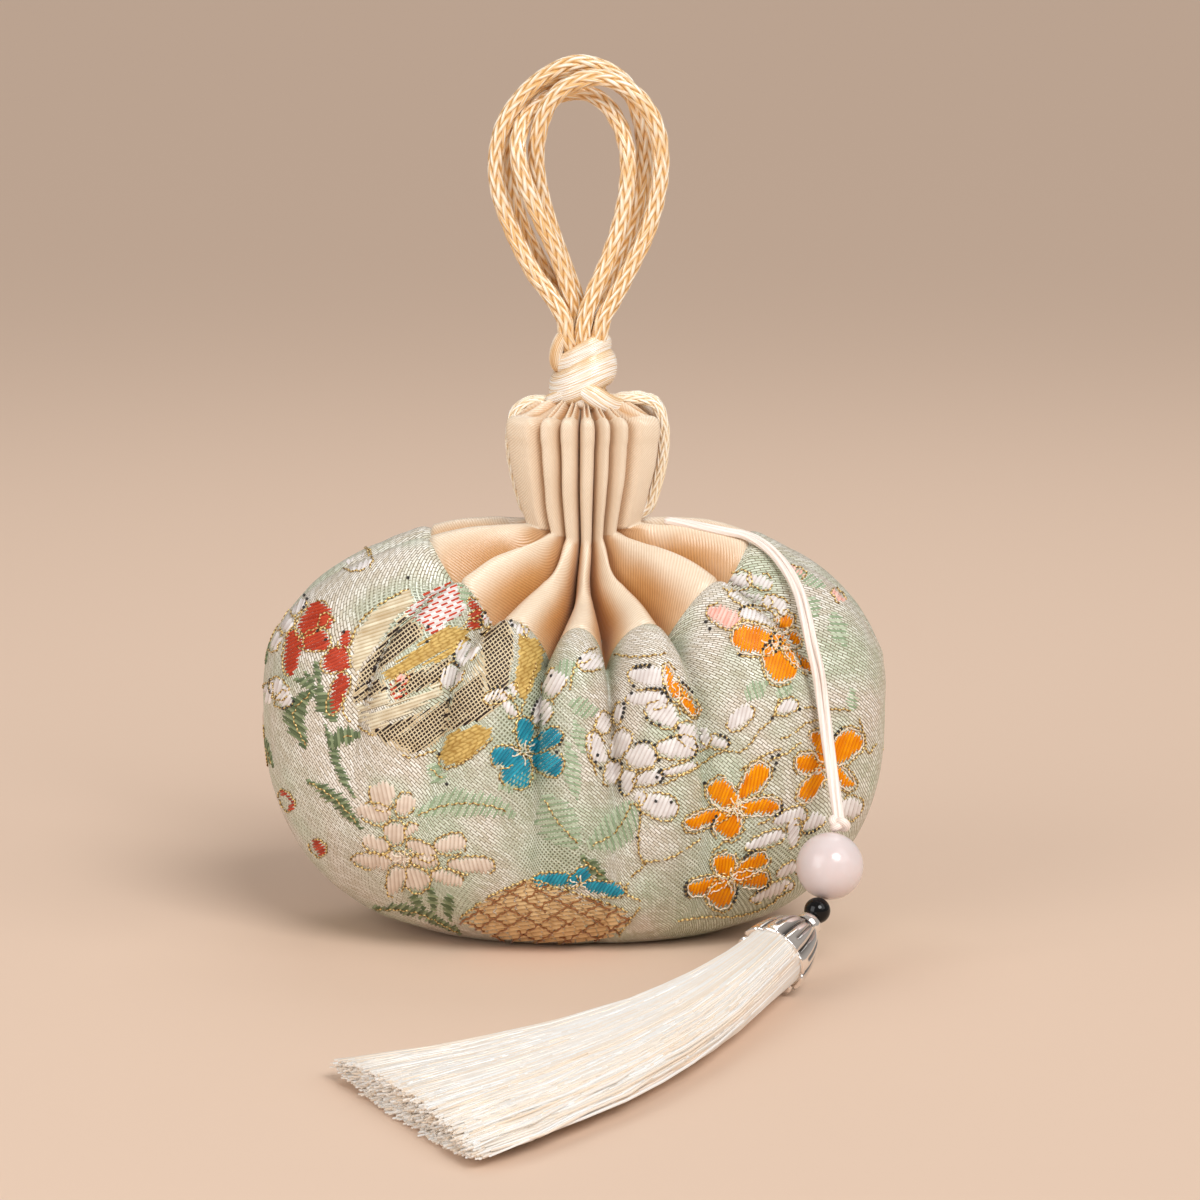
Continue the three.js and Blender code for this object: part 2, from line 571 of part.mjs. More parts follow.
const rimMiddle = new THREE.Group();
rimMiddle.position.set(NECK_OFFSET, 0, NECK_HEIGHT + RUFFLE_HEIGHT);
sachet.add(rimMiddle);
for (const [side, route] of [["left", LEFT_DRAWSTRING], ["right", RIGHT_DRAWSTRING]]) {
  for (const [end, sign] of [["front", -1], ["back", 1]]) {
    const points = route.map(([x, z]) => new THREE.Vector3(x, sign * DRAWSTRING_SPACING / 2, z));
    place(`drawstring_${side}_${end}`, cord(points, CORD_DIAMETER, CORD_STEP / 2), braid, rimMiddle);
  }
}
const knot = place("cord_knot", cordKnot(), braid, rimMiddle);
knot.position.z = RUFFLE_HEM + TOUCH_GAP;

const knotTop = new THREE.Group();
knotTop.position.z = knot.position.z + KNOT_HEIGHT;
rimMiddle.add(knotTop);
HANDLE_ROUTES.forEach((route, i) => {
  const points = route.map((point) => new THREE.Vector3(...point));
  place(`handle_loop_${i + 1}`, cord(points, CORD_DIAMETER, CORD_STEP), braid, knotTop);
});

const chain = pendantChain();
const downwards = new THREE.Vector3(0, 0, -1);
place("pendant_cord_1", pendantStrand(chain, -1), thinCord);
place("pendant_cord_2", pendantStrand(chain, 1), thinCord);
const hangingPieces = [
  ["pendant_knot", stopKnot(), thinCord, chain.stopKnot, chain.beadAxis],
  ["rose_bead", bead(ROSE_BEAD_DIAMETER, 24), roseStone, chain.bead, chain.beadAxis],
  ["black_bead", bead(BLACK_BEAD_DIAMETER, 12), blackGlass, chain.spacer, chain.spacerAxis],
  ["tassel_cap", tasselCap(), silver, chain.capTop, chain.capAxis],
];
for (const [name, geometry, material, position, axis] of hangingPieces) {
  const piece = place(name, geometry, material);
  piece.position.copy(position);
  piece.quaternion.setFromUnitVectors(downwards, axis);
}
place("bead_string", beadString(chain), thinCord);
place("tassel_skirt", tasselSkirt(chain), tasselThread);

export default sachet;
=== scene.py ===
import math
import random

import bmesh
import bpy
from mathutils import Matrix, Vector, noise
from mathutils.bvhtree import BVHTree
from mathutils.kdtree import KDTree


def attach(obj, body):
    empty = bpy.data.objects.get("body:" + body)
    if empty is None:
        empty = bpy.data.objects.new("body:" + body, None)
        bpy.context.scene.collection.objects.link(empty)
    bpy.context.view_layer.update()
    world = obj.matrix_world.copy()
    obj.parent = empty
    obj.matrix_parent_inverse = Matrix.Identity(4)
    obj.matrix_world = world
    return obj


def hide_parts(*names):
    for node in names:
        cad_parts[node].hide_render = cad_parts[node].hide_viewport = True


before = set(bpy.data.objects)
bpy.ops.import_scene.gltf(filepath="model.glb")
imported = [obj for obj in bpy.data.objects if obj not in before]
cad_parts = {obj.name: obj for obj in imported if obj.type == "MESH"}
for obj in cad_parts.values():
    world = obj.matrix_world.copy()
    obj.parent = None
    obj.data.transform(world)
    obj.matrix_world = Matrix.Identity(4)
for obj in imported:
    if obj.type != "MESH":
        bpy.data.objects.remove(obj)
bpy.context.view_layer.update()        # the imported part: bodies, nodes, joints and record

mm = 0.001               # sizes below are in millimetres, meshes in metres
fullTurn = 2 * math.pi
upright = Vector((0, 0, 1))


# small sums used all over

def lerp(a, b, t):
    return a + (b - a) * t


def clamp(x, low=0.0, high=1.0):
    return max(low, min(high, x))


def smooth(t):
    t = clamp(t)
    return t * t * (3 - 2 * t)


def tone(red, green, blue):
    # a screen colour, 0 to 255, as the shader's linear one
    def linear(c):
        c /= 255
        return c / 12.92 if c <= 0.04045 else ((c + 0.055) / 1.055) ** 2.4
    return (linear(red), linear(green), linear(blue), 1)


def polar(radius, angle, height):
    return Vector((radius * math.cos(angle), radius * math.sin(angle), height))


# meshes

def gridPatch(bm, across, along, place, flat=(1, 1), material=0, marks=None, longest=None):
    # a grid bent to shape by place(u, v), with u and v from 0 to 1, and added to bm
    # flat is the cloth's size on the UV map, or a function of u and v that gives the place there
    # marks is the name of a value and its function of u and v; faces with an edge over longest are left out
    patch = bmesh.new()
    uvMap = patch.loops.layers.uv.new("UVMap")
    value = patch.verts.layers.float.new(marks[0]) if marks else None
    bmesh.ops.create_grid(patch, x_segments=across, y_segments=along, size=0.5)
    for face in patch.faces:
        face.smooth = True
        face.material_index = material
        for loop in face.loops:
            u, v = loop.vert.co.x + 0.5, loop.vert.co.y + 0.5
            loop[uvMap].uv = flat(u, v) if callable(flat) else (u * flat[0], v * flat[1])
    for vert in patch.verts:
        u, v = vert.co.x + 0.5, vert.co.y + 0.5
        vert.co = place(u, v)
        if marks:
            vert[value] = marks[1](u, v)
    if longest:
        far = [face for face in patch.faces if max(edge.calc_length() for edge in face.edges) > longest]
        bmesh.ops.delete(patch, geom=far, context="FACES")
    flatMesh = bpy.data.meshes.new("patch")
    patch.to_mesh(flatMesh)
    patch.free()
    bm.from_mesh(flatMesh)
    bpy.data.meshes.remove(flatMesh)


def makePiece(name, bm, materials, body="pouch", replaces=(), closed=True):
    weld = 1e-6       # metres; verts closer than this are one
    bmesh.ops.remove_doubles(bm, verts=bm.verts, dist=weld)
    bmesh.ops.dissolve_degenerate(bm, edges=bm.edges, dist=weld / 10)
    if closed:
        bmesh.ops.recalc_face_normals(bm, faces=bm.faces)
    mesh = bpy.data.meshes.new(name)
    bm.to_mesh(mesh)
    bm.free()
    for material in materials:
        mesh.materials.append(material)
    piece = bpy.data.objects.new(name, mesh)
    bpy.context.scene.collection.objects.link(piece)
    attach(piece, body)
    if replaces:
        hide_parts(*replaces)
    print(name, "has", len(mesh.polygons), "faces")
    return piece


# routes

def smoothRoute(points, spacing):
    # evenly spaced points on a smooth curve through the given ones
    fine = 16         # steps from one given point to the next
    ends = [2 * points[0] - points[1], *points, 2 * points[-1] - points[-2]]
    dense = []
    for a, b, c, d in zip(ends, ends[1:], ends[2:], ends[3:]):
        knots = [0]
        for p, q in ((a, b), (b, c), (c, d)):
            knots.append(knots[-1] + max((q - p).length, 1e-9) ** 0.5)
        k0, k1, k2, k3 = knots
        for i in range(fine):
            t = lerp(k1, k2, i / fine)
            ab = lerp(a, b, (t - k0) / (k1 - k0))
            bc = lerp(b, c, (t - k1) / (k2 - k1))
            cd = lerp(c, d, (t - k2) / (k3 - k2))
            abc = lerp(ab, bc, (t - k0) / (k2 - k0))
            bcd = lerp(bc, cd, (t - k1) / (k3 - k1))
            dense.append(lerp(abc, bcd, (t - k1) / (k2 - k1)))
    dense.append(points[-1])
    return evenRoute(dense, spacing)


def routeLength(points):
    return sum((q - p).length for p, q in zip(points, points[1:]))


def evenRoute(points, spacing):
    count = max(2, round(routeLength(points) / spacing))
    step = routeLength(points) / count
    even, left = [points[0]], step
    for p, q in zip(points, points[1:]):
        span = (q - p).length
        done = 0
        while span - done >= left - 1e-12 and len(even) < count:
            done += left
            even.append(lerp(p, q, done / span))
            left = step
        left -= span - done
    return [*even, points[-1]]


def routeFrames(points, firstSide=None):
    # middle, ahead, side and lift at each point, carried along the route without twist
    frames = []
    side = firstSide
    for i, point in enumerate(points):
        ahead = (points[min(i + 1, len(points) - 1)] - points[max(i - 1, 0)]).normalized()
        if side is None:
            side = ahead.orthogonal()
        side = (side - ahead * side.dot(ahead)).normalized()
        frames.append((point, ahead, side, ahead.cross(side)))
    return frames


def tubeAlong(bm, frames, offset, section, sides, flat, material=0, marks=None):
    # a closed tube beside a route: offset(i) is its middle, section(i) its half width and half height
    last = len(frames) + 1        # a flat cap at each end takes one more row

    def place(u, v):
        row = round(v * last)
        i = min(max(row - 1, 0), last - 2)
        middle, ahead, side, lift = frames[i]
        sideways, upwards, roll = offset(i)
        width, height = section(i)
        if row in (0, last):
            width = height = 0
        angle = -u * fullTurn
        x, y = width * math.cos(angle), height * math.sin(angle)
        x, y = x * math.cos(roll) - y * math.sin(roll), x * math.sin(roll) + y * math.cos(roll)
        return middle + side * (sideways + x) + lift * (upwards + y)
    return gridPatch(bm, sides, last, place, flat, material, marks)


def clothLengths(place, columns, rows, beltRow):
    # metres of cloth up to each column, along the belt row, and up to each row, on the mean of some columns
    sampled = (0.107, 0.393, 0.607, 0.75, 0.893)
    belt = [place(i / columns, beltRow / rows) for i in range(columns + 1)]
    risers = [[place(u, j / rows) for j in range(rows + 1)] for u in sampled]
    around, upwards = [0.0], [0.0]
    for p, q in zip(belt, belt[1:]):
        around.append(around[-1] + (q - p).length)
    for j in range(rows):
        upwards.append(upwards[-1] + sum((r[j + 1] - r[j]).length for r in risers) / len(risers))
    return lambda u, v: (around[round(u * columns)], upwards[round(v * rows)])


# materials

def plug(material, socket, value):
    # a link from another node, or a plain value
    if isinstance(value, bpy.types.NodeSocket):
        material.node_tree.links.new(value, socket)
    else:
        socket.default_value = value


def addNode(material, kind, inputs=None, **settings):
    made = material.node_tree.nodes.new(kind)
    for name, value in settings.items():
        setattr(made, name, value)
    for name, value in (inputs or {}).items():
        plug(material, made.inputs[name], value)
    return made.outputs[0]


def newMaterial(name, colour, roughness, **shine):
    material = bpy.data.materials.new(name)
    material.use_nodes = True
    shader = material.node_tree.nodes["Principled BSDF"]
    shader.inputs["Base Color"].default_value = colour
    shader.inputs["Roughness"].default_value = roughness
    for socket, value in shine.items():
        shader.inputs[socket.replace("_", " ")].default_value = value
    return material


def feed(material, socket, output):
    shader = material.node_tree.nodes["Principled BSDF"]
    material.node_tree.links.new(output, shader.inputs[socket])


def uvPlaces(material, turned=0.0):
    uv = addNode(material, "ShaderNodeUVMap")
    return addNode(material, "ShaderNodeMapping", {"Vector": uv, "Rotation": (0, 0, math.radians(turned))})


def threadLines(material, places, pitch, direction="X", wander=0.0):
    # soft ridges one pitch apart, in metres of the UV map
    return addNode(
        material, "ShaderNodeTexWave",
        {"Vector": places, "Scale": fullTurn / 20 / pitch, "Distortion": wander, "Detail": 1.0},
        wave_type="BANDS", bands_direction=direction,
    )


def combine(material, operation, a, b):
    made = addNode(material, "ShaderNodeMath", operation=operation)
    for socket, value in zip(made.node.inputs, (a, b)):
        plug(material, socket, value)
    return made


def blendColours(material, share, low, high):
    made = addNode(material, "ShaderNodeMix", data_type="RGBA").node
    for name, value in (("Factor", share), ("A", low), ("B", high)):
        kind = "VALUE" if name == "Factor" else "RGBA"
        plug(material, next(s for s in made.inputs if s.name == name and s.type == kind), value)
    return next(s for s in made.outputs if s.type == "RGBA")


def dye(material, share, low, high):
    feed(material, "Base Color", blendColours(material, share, low, high))


def emboss(material, height, depth, strength=1.0):
    bump = addNode(material, "ShaderNodeBump", {"Height": height, "Distance": depth, "Strength": strength})
    feed(material, "Normal", bump)


def mark(material, name):
    # the value that the mesh carries under this name
    return addNode(material, "ShaderNodeAttribute", attribute_name=name).node.outputs["Fac"]


def objectPlaces(material):
    return addNode(material, "ShaderNodeTexCoord").node.outputs["Object"]


def clouds(material, places, scale, detail=2.0):
    return addNode(material, "ShaderNodeTexNoise", {"Vector": places, "Scale": scale, "Detail": detail})


def stretch(material, value, low, high, least=0.0, most=1.0):
    # spreads what lies from low to high over least to most
    limits = {"From Min": low, "From Max": high, "To Min": least, "To Max": most}
    return addNode(material, "ShaderNodeMapRange", {"Value": value, **limits})


def weigh(material, share, first, second):
    # a share of the first height and the rest of the second
    rest = combine(material, "MULTIPLY", second, 1 - share)
    return combine(material, "ADD", combine(material, "MULTIPLY", first, share), rest)


# camera, floor and light

photo = {"pixels": 1200, "focal": 4104, "eye": (4.7, -750, 187), "pitch": 9.5, "sensor": 36}


def addCamera():
    data = bpy.data.cameras.new("camera")
    data.sensor_width = photo["sensor"]
    data.lens = photo["focal"] / photo["pixels"] * photo["sensor"]
    camera = bpy.data.objects.new("camera", data)
    camera.location = Vector(photo["eye"]) * mm
    camera.rotation_euler = (math.radians(90 - photo["pitch"]), 0, 0)
    bpy.context.scene.collection.objects.link(camera)
    bpy.context.scene.camera = camera


def photoRay(px, py, azimuth=0):
    # where a photo pixel looks from and to; azimuth walks the camera round the object
    x = (px - photo["pixels"] / 2) / photo["focal"]
    z = -(py - photo["pixels"] / 2) / photo["focal"]
    tilt = Matrix.Rotation(-math.radians(photo["pitch"]), 3, "X")
    walk = Matrix.Rotation(math.radians(azimuth), 3, "Z")
    return walk @ (Vector(photo["eye"]) * mm), walk @ (tilt @ Vector((x, 1, z))).normalized()


stage = {
    "floorSize": 60, "floorDrop": 0.2, "floorColour": tone(225, 198, 176), "floorRoughness": 0.9,
    "worldColour": tone(240, 230, 222), "worldStrength": 0.3, "backdropStrength": 0.45,
    "sun": 1.85, "sunSpread": 28, "sunFrom": (0.34, -0.68, 0.68),
    "lamps": [   # place, aim, width, height, watts
        ((0.56, -0.38, 0.54), (0.0, -0.01, 0.05), 0.52, 0.62, 1.6),
        ((-0.52, -0.52, 0.34), (-0.02, -0.05, 0.03), 0.48, 0.56, 2.3),
        ((0.05, 0.5, 0.75), (0.0, 0.0, 0.06), 0.6, 0.4, 1.4),
    ],
}


def addFloor():
    bm = bmesh.new()
    bmesh.ops.create_grid(bm, x_segments=1, y_segments=1, size=stage["floorSize"] / 2)
    mesh = bpy.data.meshes.new("floor")
    bm.to_mesh(mesh)
    bm.free()
    mesh.materials.append(newMaterial("floorPaper", stage["floorColour"], stage["floorRoughness"]))
    floor = bpy.data.objects.new("floor", mesh)
    floor.location.z = -stage["floorDrop"] * mm
    bpy.context.scene.collection.objects.link(floor)


def hangLamp(lamp, place, towards):
    holder = bpy.data.objects.new(lamp.name, lamp)
    holder.location = place
    holder.rotation_euler = towards.to_track_quat("-Z", "Y").to_euler()
    bpy.context.scene.collection.objects.link(holder)


def addLamps():
    for i, (place, aim, width, height, watts) in enumerate(stage["lamps"]):
        lamp = bpy.data.lights.new(f"softbox{i + 1}", "AREA")
        lamp.shape = "RECTANGLE"
        lamp.size, lamp.size_y, lamp.energy = width, height, watts
        hangLamp(lamp, place, Vector(aim) - Vector(place))
    lamp = bpy.data.lights.new("skylight", "SUN")
    lamp.energy, lamp.angle = stage["sun"], math.radians(stage["sunSpread"])
    hangLamp(lamp, (0, 0, 0), -Vector(stage["sunFrom"]))


def addRoom():
    world = bpy.data.worlds.new("room")
    world.use_nodes = True
    background = world.node_tree.nodes["Background"]
    background.inputs["Color"].default_value = stage["worldColour"]
    mirrored = addNode(world, "ShaderNodeLightPath").node.outputs["Is Glossy Ray"]  # metal shows a pale room
    brighter = combine(world, "MULTIPLY", mirrored, stage["backdropStrength"] - stage["worldStrength"])
    strength = combine(world, "ADD", brighter, stage["worldStrength"])
    world.node_tree.links.new(strength, background.inputs["Strength"])
    bpy.context.scene.world = world
    bpy.context.scene.view_settings.view_transform = "Standard"


addCamera()
addFloor()
addLamps()
addRoom()
print("camera, floor and lamps are set")


# pouch cloth: the same form as the solids, with finer folds

pouch = {
    "width": 115, "depth": 68, "plan": 2.2, "sideNarrowness": 4,
    "sideBulge": 43, "frontBulge": 36, "belly": 2.5, "baseFlatness": 0.935, "baseRim": 0.3, "baseHole": 0.02,
    "sideShoulder": 2.2, "frontShoulder": 0.9, "shoulderEnd": 2.2,
    "seamFront": 0.6, "seamSide": 0.4, "seamSkew": 0.04, "seamFold": 11.5,
    "seamRoll": 0.3, "seamTuck": 0.8, "seamEdge": 2.6, "seamFade": 20, "allowance": (0.75, 0.75, 0.9),
    "tubeRun": 20, "tubeFade": 40,
    "foldPlain": 34, "foldReach": {8: 48, 9: 44, 10: 54, 11: 66, 12: 60, 13: 46},
    "valleys": [0, 27, 50, 76, 103, 129, 151, 180, 212, 230, 257, 284, 310, 335],
    "pleatColumns": 20, "shoulderRows": 36, "bellyRows": 30, "rowSpread": 1.7,
    "rumples": [(0.55, 24), (0.2, 9)], "rumpleFrom": 0.4, "rumpleFade": 0.5,      # heights and their spans
    "pressure": 2.0, "slack": 0.015, "frames": 14, "quality": 6, "mostMove": 1.2,
    "heldSeam": 14, "heldBase": 4,
    "sageBlobs": [(36, 14, 26, 14), (-8, 42, 10, 20), (-30, 62, 12, 6), (-4, 20, 10, 8)],   # x, z, wide, high
    "sageDrift": 26, "sageBack": 10, "sageContrast": 0.9, "sageReach": 1.25, "sageUneven": 0.25,
}
collar = {
    "neckHeight": 77, "neckWidth": 23, "neckDepth": 15, "neckOffset": 1.6, "neckFold": 4.6,
    "height": 19, "width": 31, "depth": 19, "roundness": 2.6, "fold": 4.4, "pleatRound": 1.5,
    "hem": 0.5, "hemOut": 0.2, "hemDrop": 1.2, "hemInset": 1.5, "hemLift": 1.7,
    "topDip": -0.3, "topDrop": 2.2, "middleDrop": 0.6, "topMiddle": 0.02, "topEdge": 0.91,
    "gather": 0.7, "gathers": 3, "climb": 2.6, "sideLift": 1.7, "sideLiftWidth": 0.7,
    "sag": 3.4, "slack": 0.45, "slackSpan": 10, "sway": 1.6, "swaySpan": 14,
    "underlap": 1.07, "tuck": 1.4, "tuckFrom": 0.97, "grooveWidth": 13, "grooveDepth": 4,
    "valleys": [0, 50, 64, 79, 95, 113, 131, 180, 224, 241.5, 264.5, 287, 303, 318],
    "pleatColumns": 30, "shoulderRows": 46, "ruffleRows": 36, "hemRows": 8, "topRows": 18,
    "tubesTo": 0.3, "puffsFrom": 0.04, "puffsTo": 0.4, "deepAt": 0.45,       # shares of the way to the seam
    "topPaintedShade": 0.4, "columnPaintedShade": 0.75, "flankPaintedShade": (0.65, 0.3),      # how much painted shade darkens a crease
}
pleatCount = len(pouch["valleys"])


def ovalRadius(angle, halfWidth, halfDepth, roundness):
    across = abs(math.cos(angle) / halfWidth) ** roundness
    along = abs(math.sin(angle) / halfDepth) ** roundness
    return (across + along) ** (-1 / roundness)


def pleatAngle(valleys, pleat):
    # whole pleat numbers are valleys, halves are crests
    index = math.floor(pleat)

    def valley(i):
        return valleys[i % pleatCount] + 360 * (i // pleatCount)
    return math.radians(lerp(valley(index), valley(index + 1), pleat - index))


def sideShare(angle):
    return abs(math.cos(angle)) ** pouch["sideNarrowness"]


def seamSpread(angle):
    spread = lerp(pouch["seamFront"], pouch["seamSide"], sideShare(angle))
    return spread + pouch["seamSkew"] * math.cos(angle)


def shoulderProfile(pleat, spread):
    # direction, radius and height of the unfolded shoulder, from the neck at 0 to the belly at 1
    belly = pleatAngle(pouch["valleys"], pleat)
    seam = seamSpread(belly)

    def plan(angle, spread):
        neck = ovalRadius(angle, collar["neckWidth"] / 2, collar["neckDepth"] / 2, collar["roundness"])
        outer = ovalRadius(angle, pouch["width"] / 2, pouch["depth"] / 2, pouch["plan"])
        return Vector((math.cos(angle), math.sin(angle))) * lerp(neck, outer, spread)
    if spread < seam:      # straight folds fan out from the neck to the seam
        flat = lerp(plan(pleatAngle(collar["valleys"], pleat), 0), plan(belly, seam), spread / seam)
    else:
        flat = plan(belly, spread)
    side = sideShare(belly)
    bulge = lerp(pouch["frontBulge"], pouch["sideBulge"], side)
    fullness = lerp(pouch["frontShoulder"], pouch["sideShoulder"], side)
    fullness = lerp(fullness, pouch["shoulderEnd"], spread ** 2)
    rise = max(0, 1 - spread ** fullness) ** (1 / fullness)
    return math.atan2(flat.y, flat.x), flat.length, lerp(bulge, collar["neckHeight"], rise)


def shoulderPoint(pleat, spread, standOff, radial=0.0):
    # a point out from the unfolded shoulder, square to it, or level where radial is 1
    nudge = 0.002
    angle, radius, height = shoulderProfile(pleat, spread)
    _, innerRadius, innerHeight = shoulderProfile(pleat, max(0, spread - nudge))
    _, outerRadius, outerHeight = shoulderProfile(pleat, min(1, spread + nudge))
    normal = Vector((innerHeight - outerHeight, outerRadius - innerRadius)).normalized()
    normal = lerp(normal, Vector((1, 0)), radial).normalized()
    radius += standOff * normal.x
    x = collar["neckOffset"] * (1 - spread) + radius * math.cos(angle)
    return Vector((x, radius * math.sin(angle), height + standOff * normal.y)) * mm


def knifeFold(pleat, crest=0.16):
    # 0 on a crest, 1 in a valley, with straight flanks
    flank = abs(2 * (pleat - math.floor(pleat)) - 1)
    return (math.hypot(flank, crest) - crest) / (math.hypot(1, crest) - crest)


def puffFold(pleat, fullness=0.6):
    # the same, round and full on top
    flank = abs(2 * (pleat - math.floor(pleat)) - 1)
    return 1 - (1 - flank ** 2) ** fullness


def columnFold(pleat, radius):
    # upright pleats like packed tubes, and a wide groove at each side for the drawstrings
    index = math.floor(pleat)
    span = radius * (pleatAngle(collar["valleys"], index + 1) - pleatAngle(collar["valleys"], index))
    before = (pleat - index) * span
    nearest = index if before < span - before else index + 1
    distance = min(before, span - before)
    if nearest % (pleatCount // 2) == 0:
        groove = (1 + math.cos(math.pi * min(1, 2 * distance / collar["grooveWidth"]))) / 2
        return groove * collar["grooveDepth"] / collar["fold"]
    steep = clamp(1 - distance / collar["pleatRound"])
    return 1 - math.sqrt(1 - steep * steep)


def unevenness(place, size, octaves=3):
    return noise.fractal(place / size / mm, 1.0, 2.0, octaves)


# brocade body

def foldLeft(pleat, run):
    # how much of a seam fold is left, some millimetres of cloth below the seam
    reach = pouch["foldReach"].get(round(pleat) % pleatCount, pouch["foldPlain"])
    return clamp(1 - run / reach)


def waveFold(pleat):
    # a soft fold: 0 on the crest, 1 in the valley
    return (1 + math.cos(fullTurn * pleat)) / 2


def seamDepth(pleat, run):
    # how deep the cloth folds in: tight tubes at the seam that open downwards
    opened = smooth((run - pouch["tubeRun"]) / pouch["tubeFade"])
    return pouch["seamFold"] * foldLeft(pleat, run) * lerp(puffFold(pleat), waveFold(pleat), opened)


def seamRun(pleat, spread):
    # millimetres from the seam down the shoulder
    _, seamRadius, seamHeight = shoulderProfile(pleat, seamSpread(pleatAngle(pouch["valleys"], pleat)))
    _, radius, height = shoulderProfile(pleat, spread)
    return math.hypot(radius - seamRadius, height - seamHeight)


def bellyPoint(pleat, spread):
    angle = pleatAngle(pouch["valleys"], pleat)
    fall = max(0, 1 - spread ** pouch["belly"]) ** (1 / pouch["belly"])
    bulge = lerp(pouch["frontBulge"], pouch["sideBulge"], sideShare(angle))
    height = bulge * max(0, 1 - fall / pouch["baseFlatness"])
    fold = seamDepth(pleat, seamRun(pleat, 1) + bulge - height)
    radius = spread * ovalRadius(angle, pouch["width"] / 2, pouch["depth"] / 2, pouch["plan"]) - fold
    return polar(radius, angle, height) * mm


def brocadePoint(pleat, spread):
    # shoulder of the brocade, from the seam to the belly, with a rolled edge
    run = seamRun(pleat, spread)
    edge = clamp(run / pouch["seamEdge"])
    faded = smooth(run / pouch["seamFade"])
    tucked = 1 - math.sqrt(1 - (1 - edge) ** 2)
    roll = pouch["seamRoll"] - (pouch["seamRoll"] + pouch["seamTuck"]) * tucked
    return shoulderPoint(pleat, spread, roll * (1 - faded) - seamDepth(pleat, run), faded)


def brocadeSurface(u, v):
    # v: 0 in the middle of the base, 1 on the belly line, 2 at the seam
    pleat = u * pleatCount
    if v <= 1:
        flat = (1 - pouch["baseFlatness"] ** pouch["belly"]) ** (1 / pouch["belly"])
        rim = pouch["baseRim"]
        if v < rim:      # a small hole is left in the middle and filled once the cloth is finer
            return bellyPoint(pleat, flat * lerp(pouch["baseHole"], 1, v / rim))
        return bellyPoint(pleat, math.cos(math.acos(flat) * (1 - (v - rim) / (1 - rim))))
    seam = seamSpread(pleatAngle(pouch["valleys"], pleat))
    return brocadePoint(pleat, lerp(1, seam, (v - 1) ** pouch["rowSpread"]))


def makeBody(cloth):
    bm = bmesh.new()
    rows = pouch["bellyRows"] + pouch["shoulderRows"]
    columns = pleatCount * pouch["pleatColumns"]

    def place(u, v):
        v = v * rows / pouch["bellyRows"]
        if v > 1:
            v = 1 + (v - 1) * pouch["bellyRows"] / pouch["shoulderRows"]
        point = brocadeSurface(u % 1, v)
        if v > pouch["rumpleFrom"]:       # out is about square to the cloth
            out = Vector((point.x, point.y * 2, (point.z - 0.04) * 1.2)).normalized()
            rumple = sum(size * unevenness(point, span) for size, span in pouch["rumples"])
            point += out * mm * smooth((v - pouch["rumpleFrom"]) / pouch["rumpleFade"]) * rumple
        return point
    gridPatch(bm, columns, rows, place, clothLengths(place, columns, rows, pouch["bellyRows"]))
    piece = makePiece("brocade_pouch", bm, [cloth], replaces=["brocade_body"], closed=False)
    plump(piece)
    finer = piece.modifiers.new("finer", "SUBSURF")
    finer.levels = finer.render_levels = 1
    settled = bpy.context.evaluated_depsgraph_get()
    bm = bmesh.new()
    bm.from_object(piece, settled)
    piece.modifiers.clear()
    closeBody(bm)
    for face in bm.faces:
        face.smooth = True
    sage = bm.verts.layers.float.new("sage")
    for vert in bm.verts:
        vert[sage] = sageShare(vert.co)
    bm.to_mesh(piece.data)
    tree = BVHTree.FromBMesh(bm)
    bm.free()
    return piece, tree


def closeBody(bm):
    # fills the hole in the base, and turns the seam allowance in, out of sight, over a filled neck
    openEdges = [edge for edge in bm.edges if edge.is_boundary]
    bmesh.ops.holes_fill(bm, edges=[edge for edge in openEdges if edge.verts[0].co.z < mm])
    openEdges = [edge for edge in openEdges if edge.is_boundary]
    lip = bmesh.ops.extrude_edge_only(bm, edges=openEdges)["geom"]
    lipVerts = [part for part in lip if isinstance(part, bmesh.types.BMVert)]
    bmesh.ops.scale(bm, verts=lipVerts, vec=pouch["allowance"])
    bmesh.ops.holes_fill(bm, edges=[part for part in lip if isinstance(part, bmesh.types.BMEdge)])


def sageShare(co):
    # where the ground is woven sage instead of silver: blobs in millimetres on the front, drifts on the back
    drift = 0.5 + pouch["sageContrast"] * unevenness(co, pouch["sageDrift"])
    if co.y > pouch["sageBack"] * mm:
        return clamp(drift)
    share = 0.0
    for x, z, wide, high in pouch["sageBlobs"]:
        away = math.hypot((co.x / mm - x) / wide, (co.z / mm - z) / high)
        share = max(share, smooth(pouch["sageReach"] - away))
    return clamp(share + pouch["sageUneven"] * (drift - 0.5))


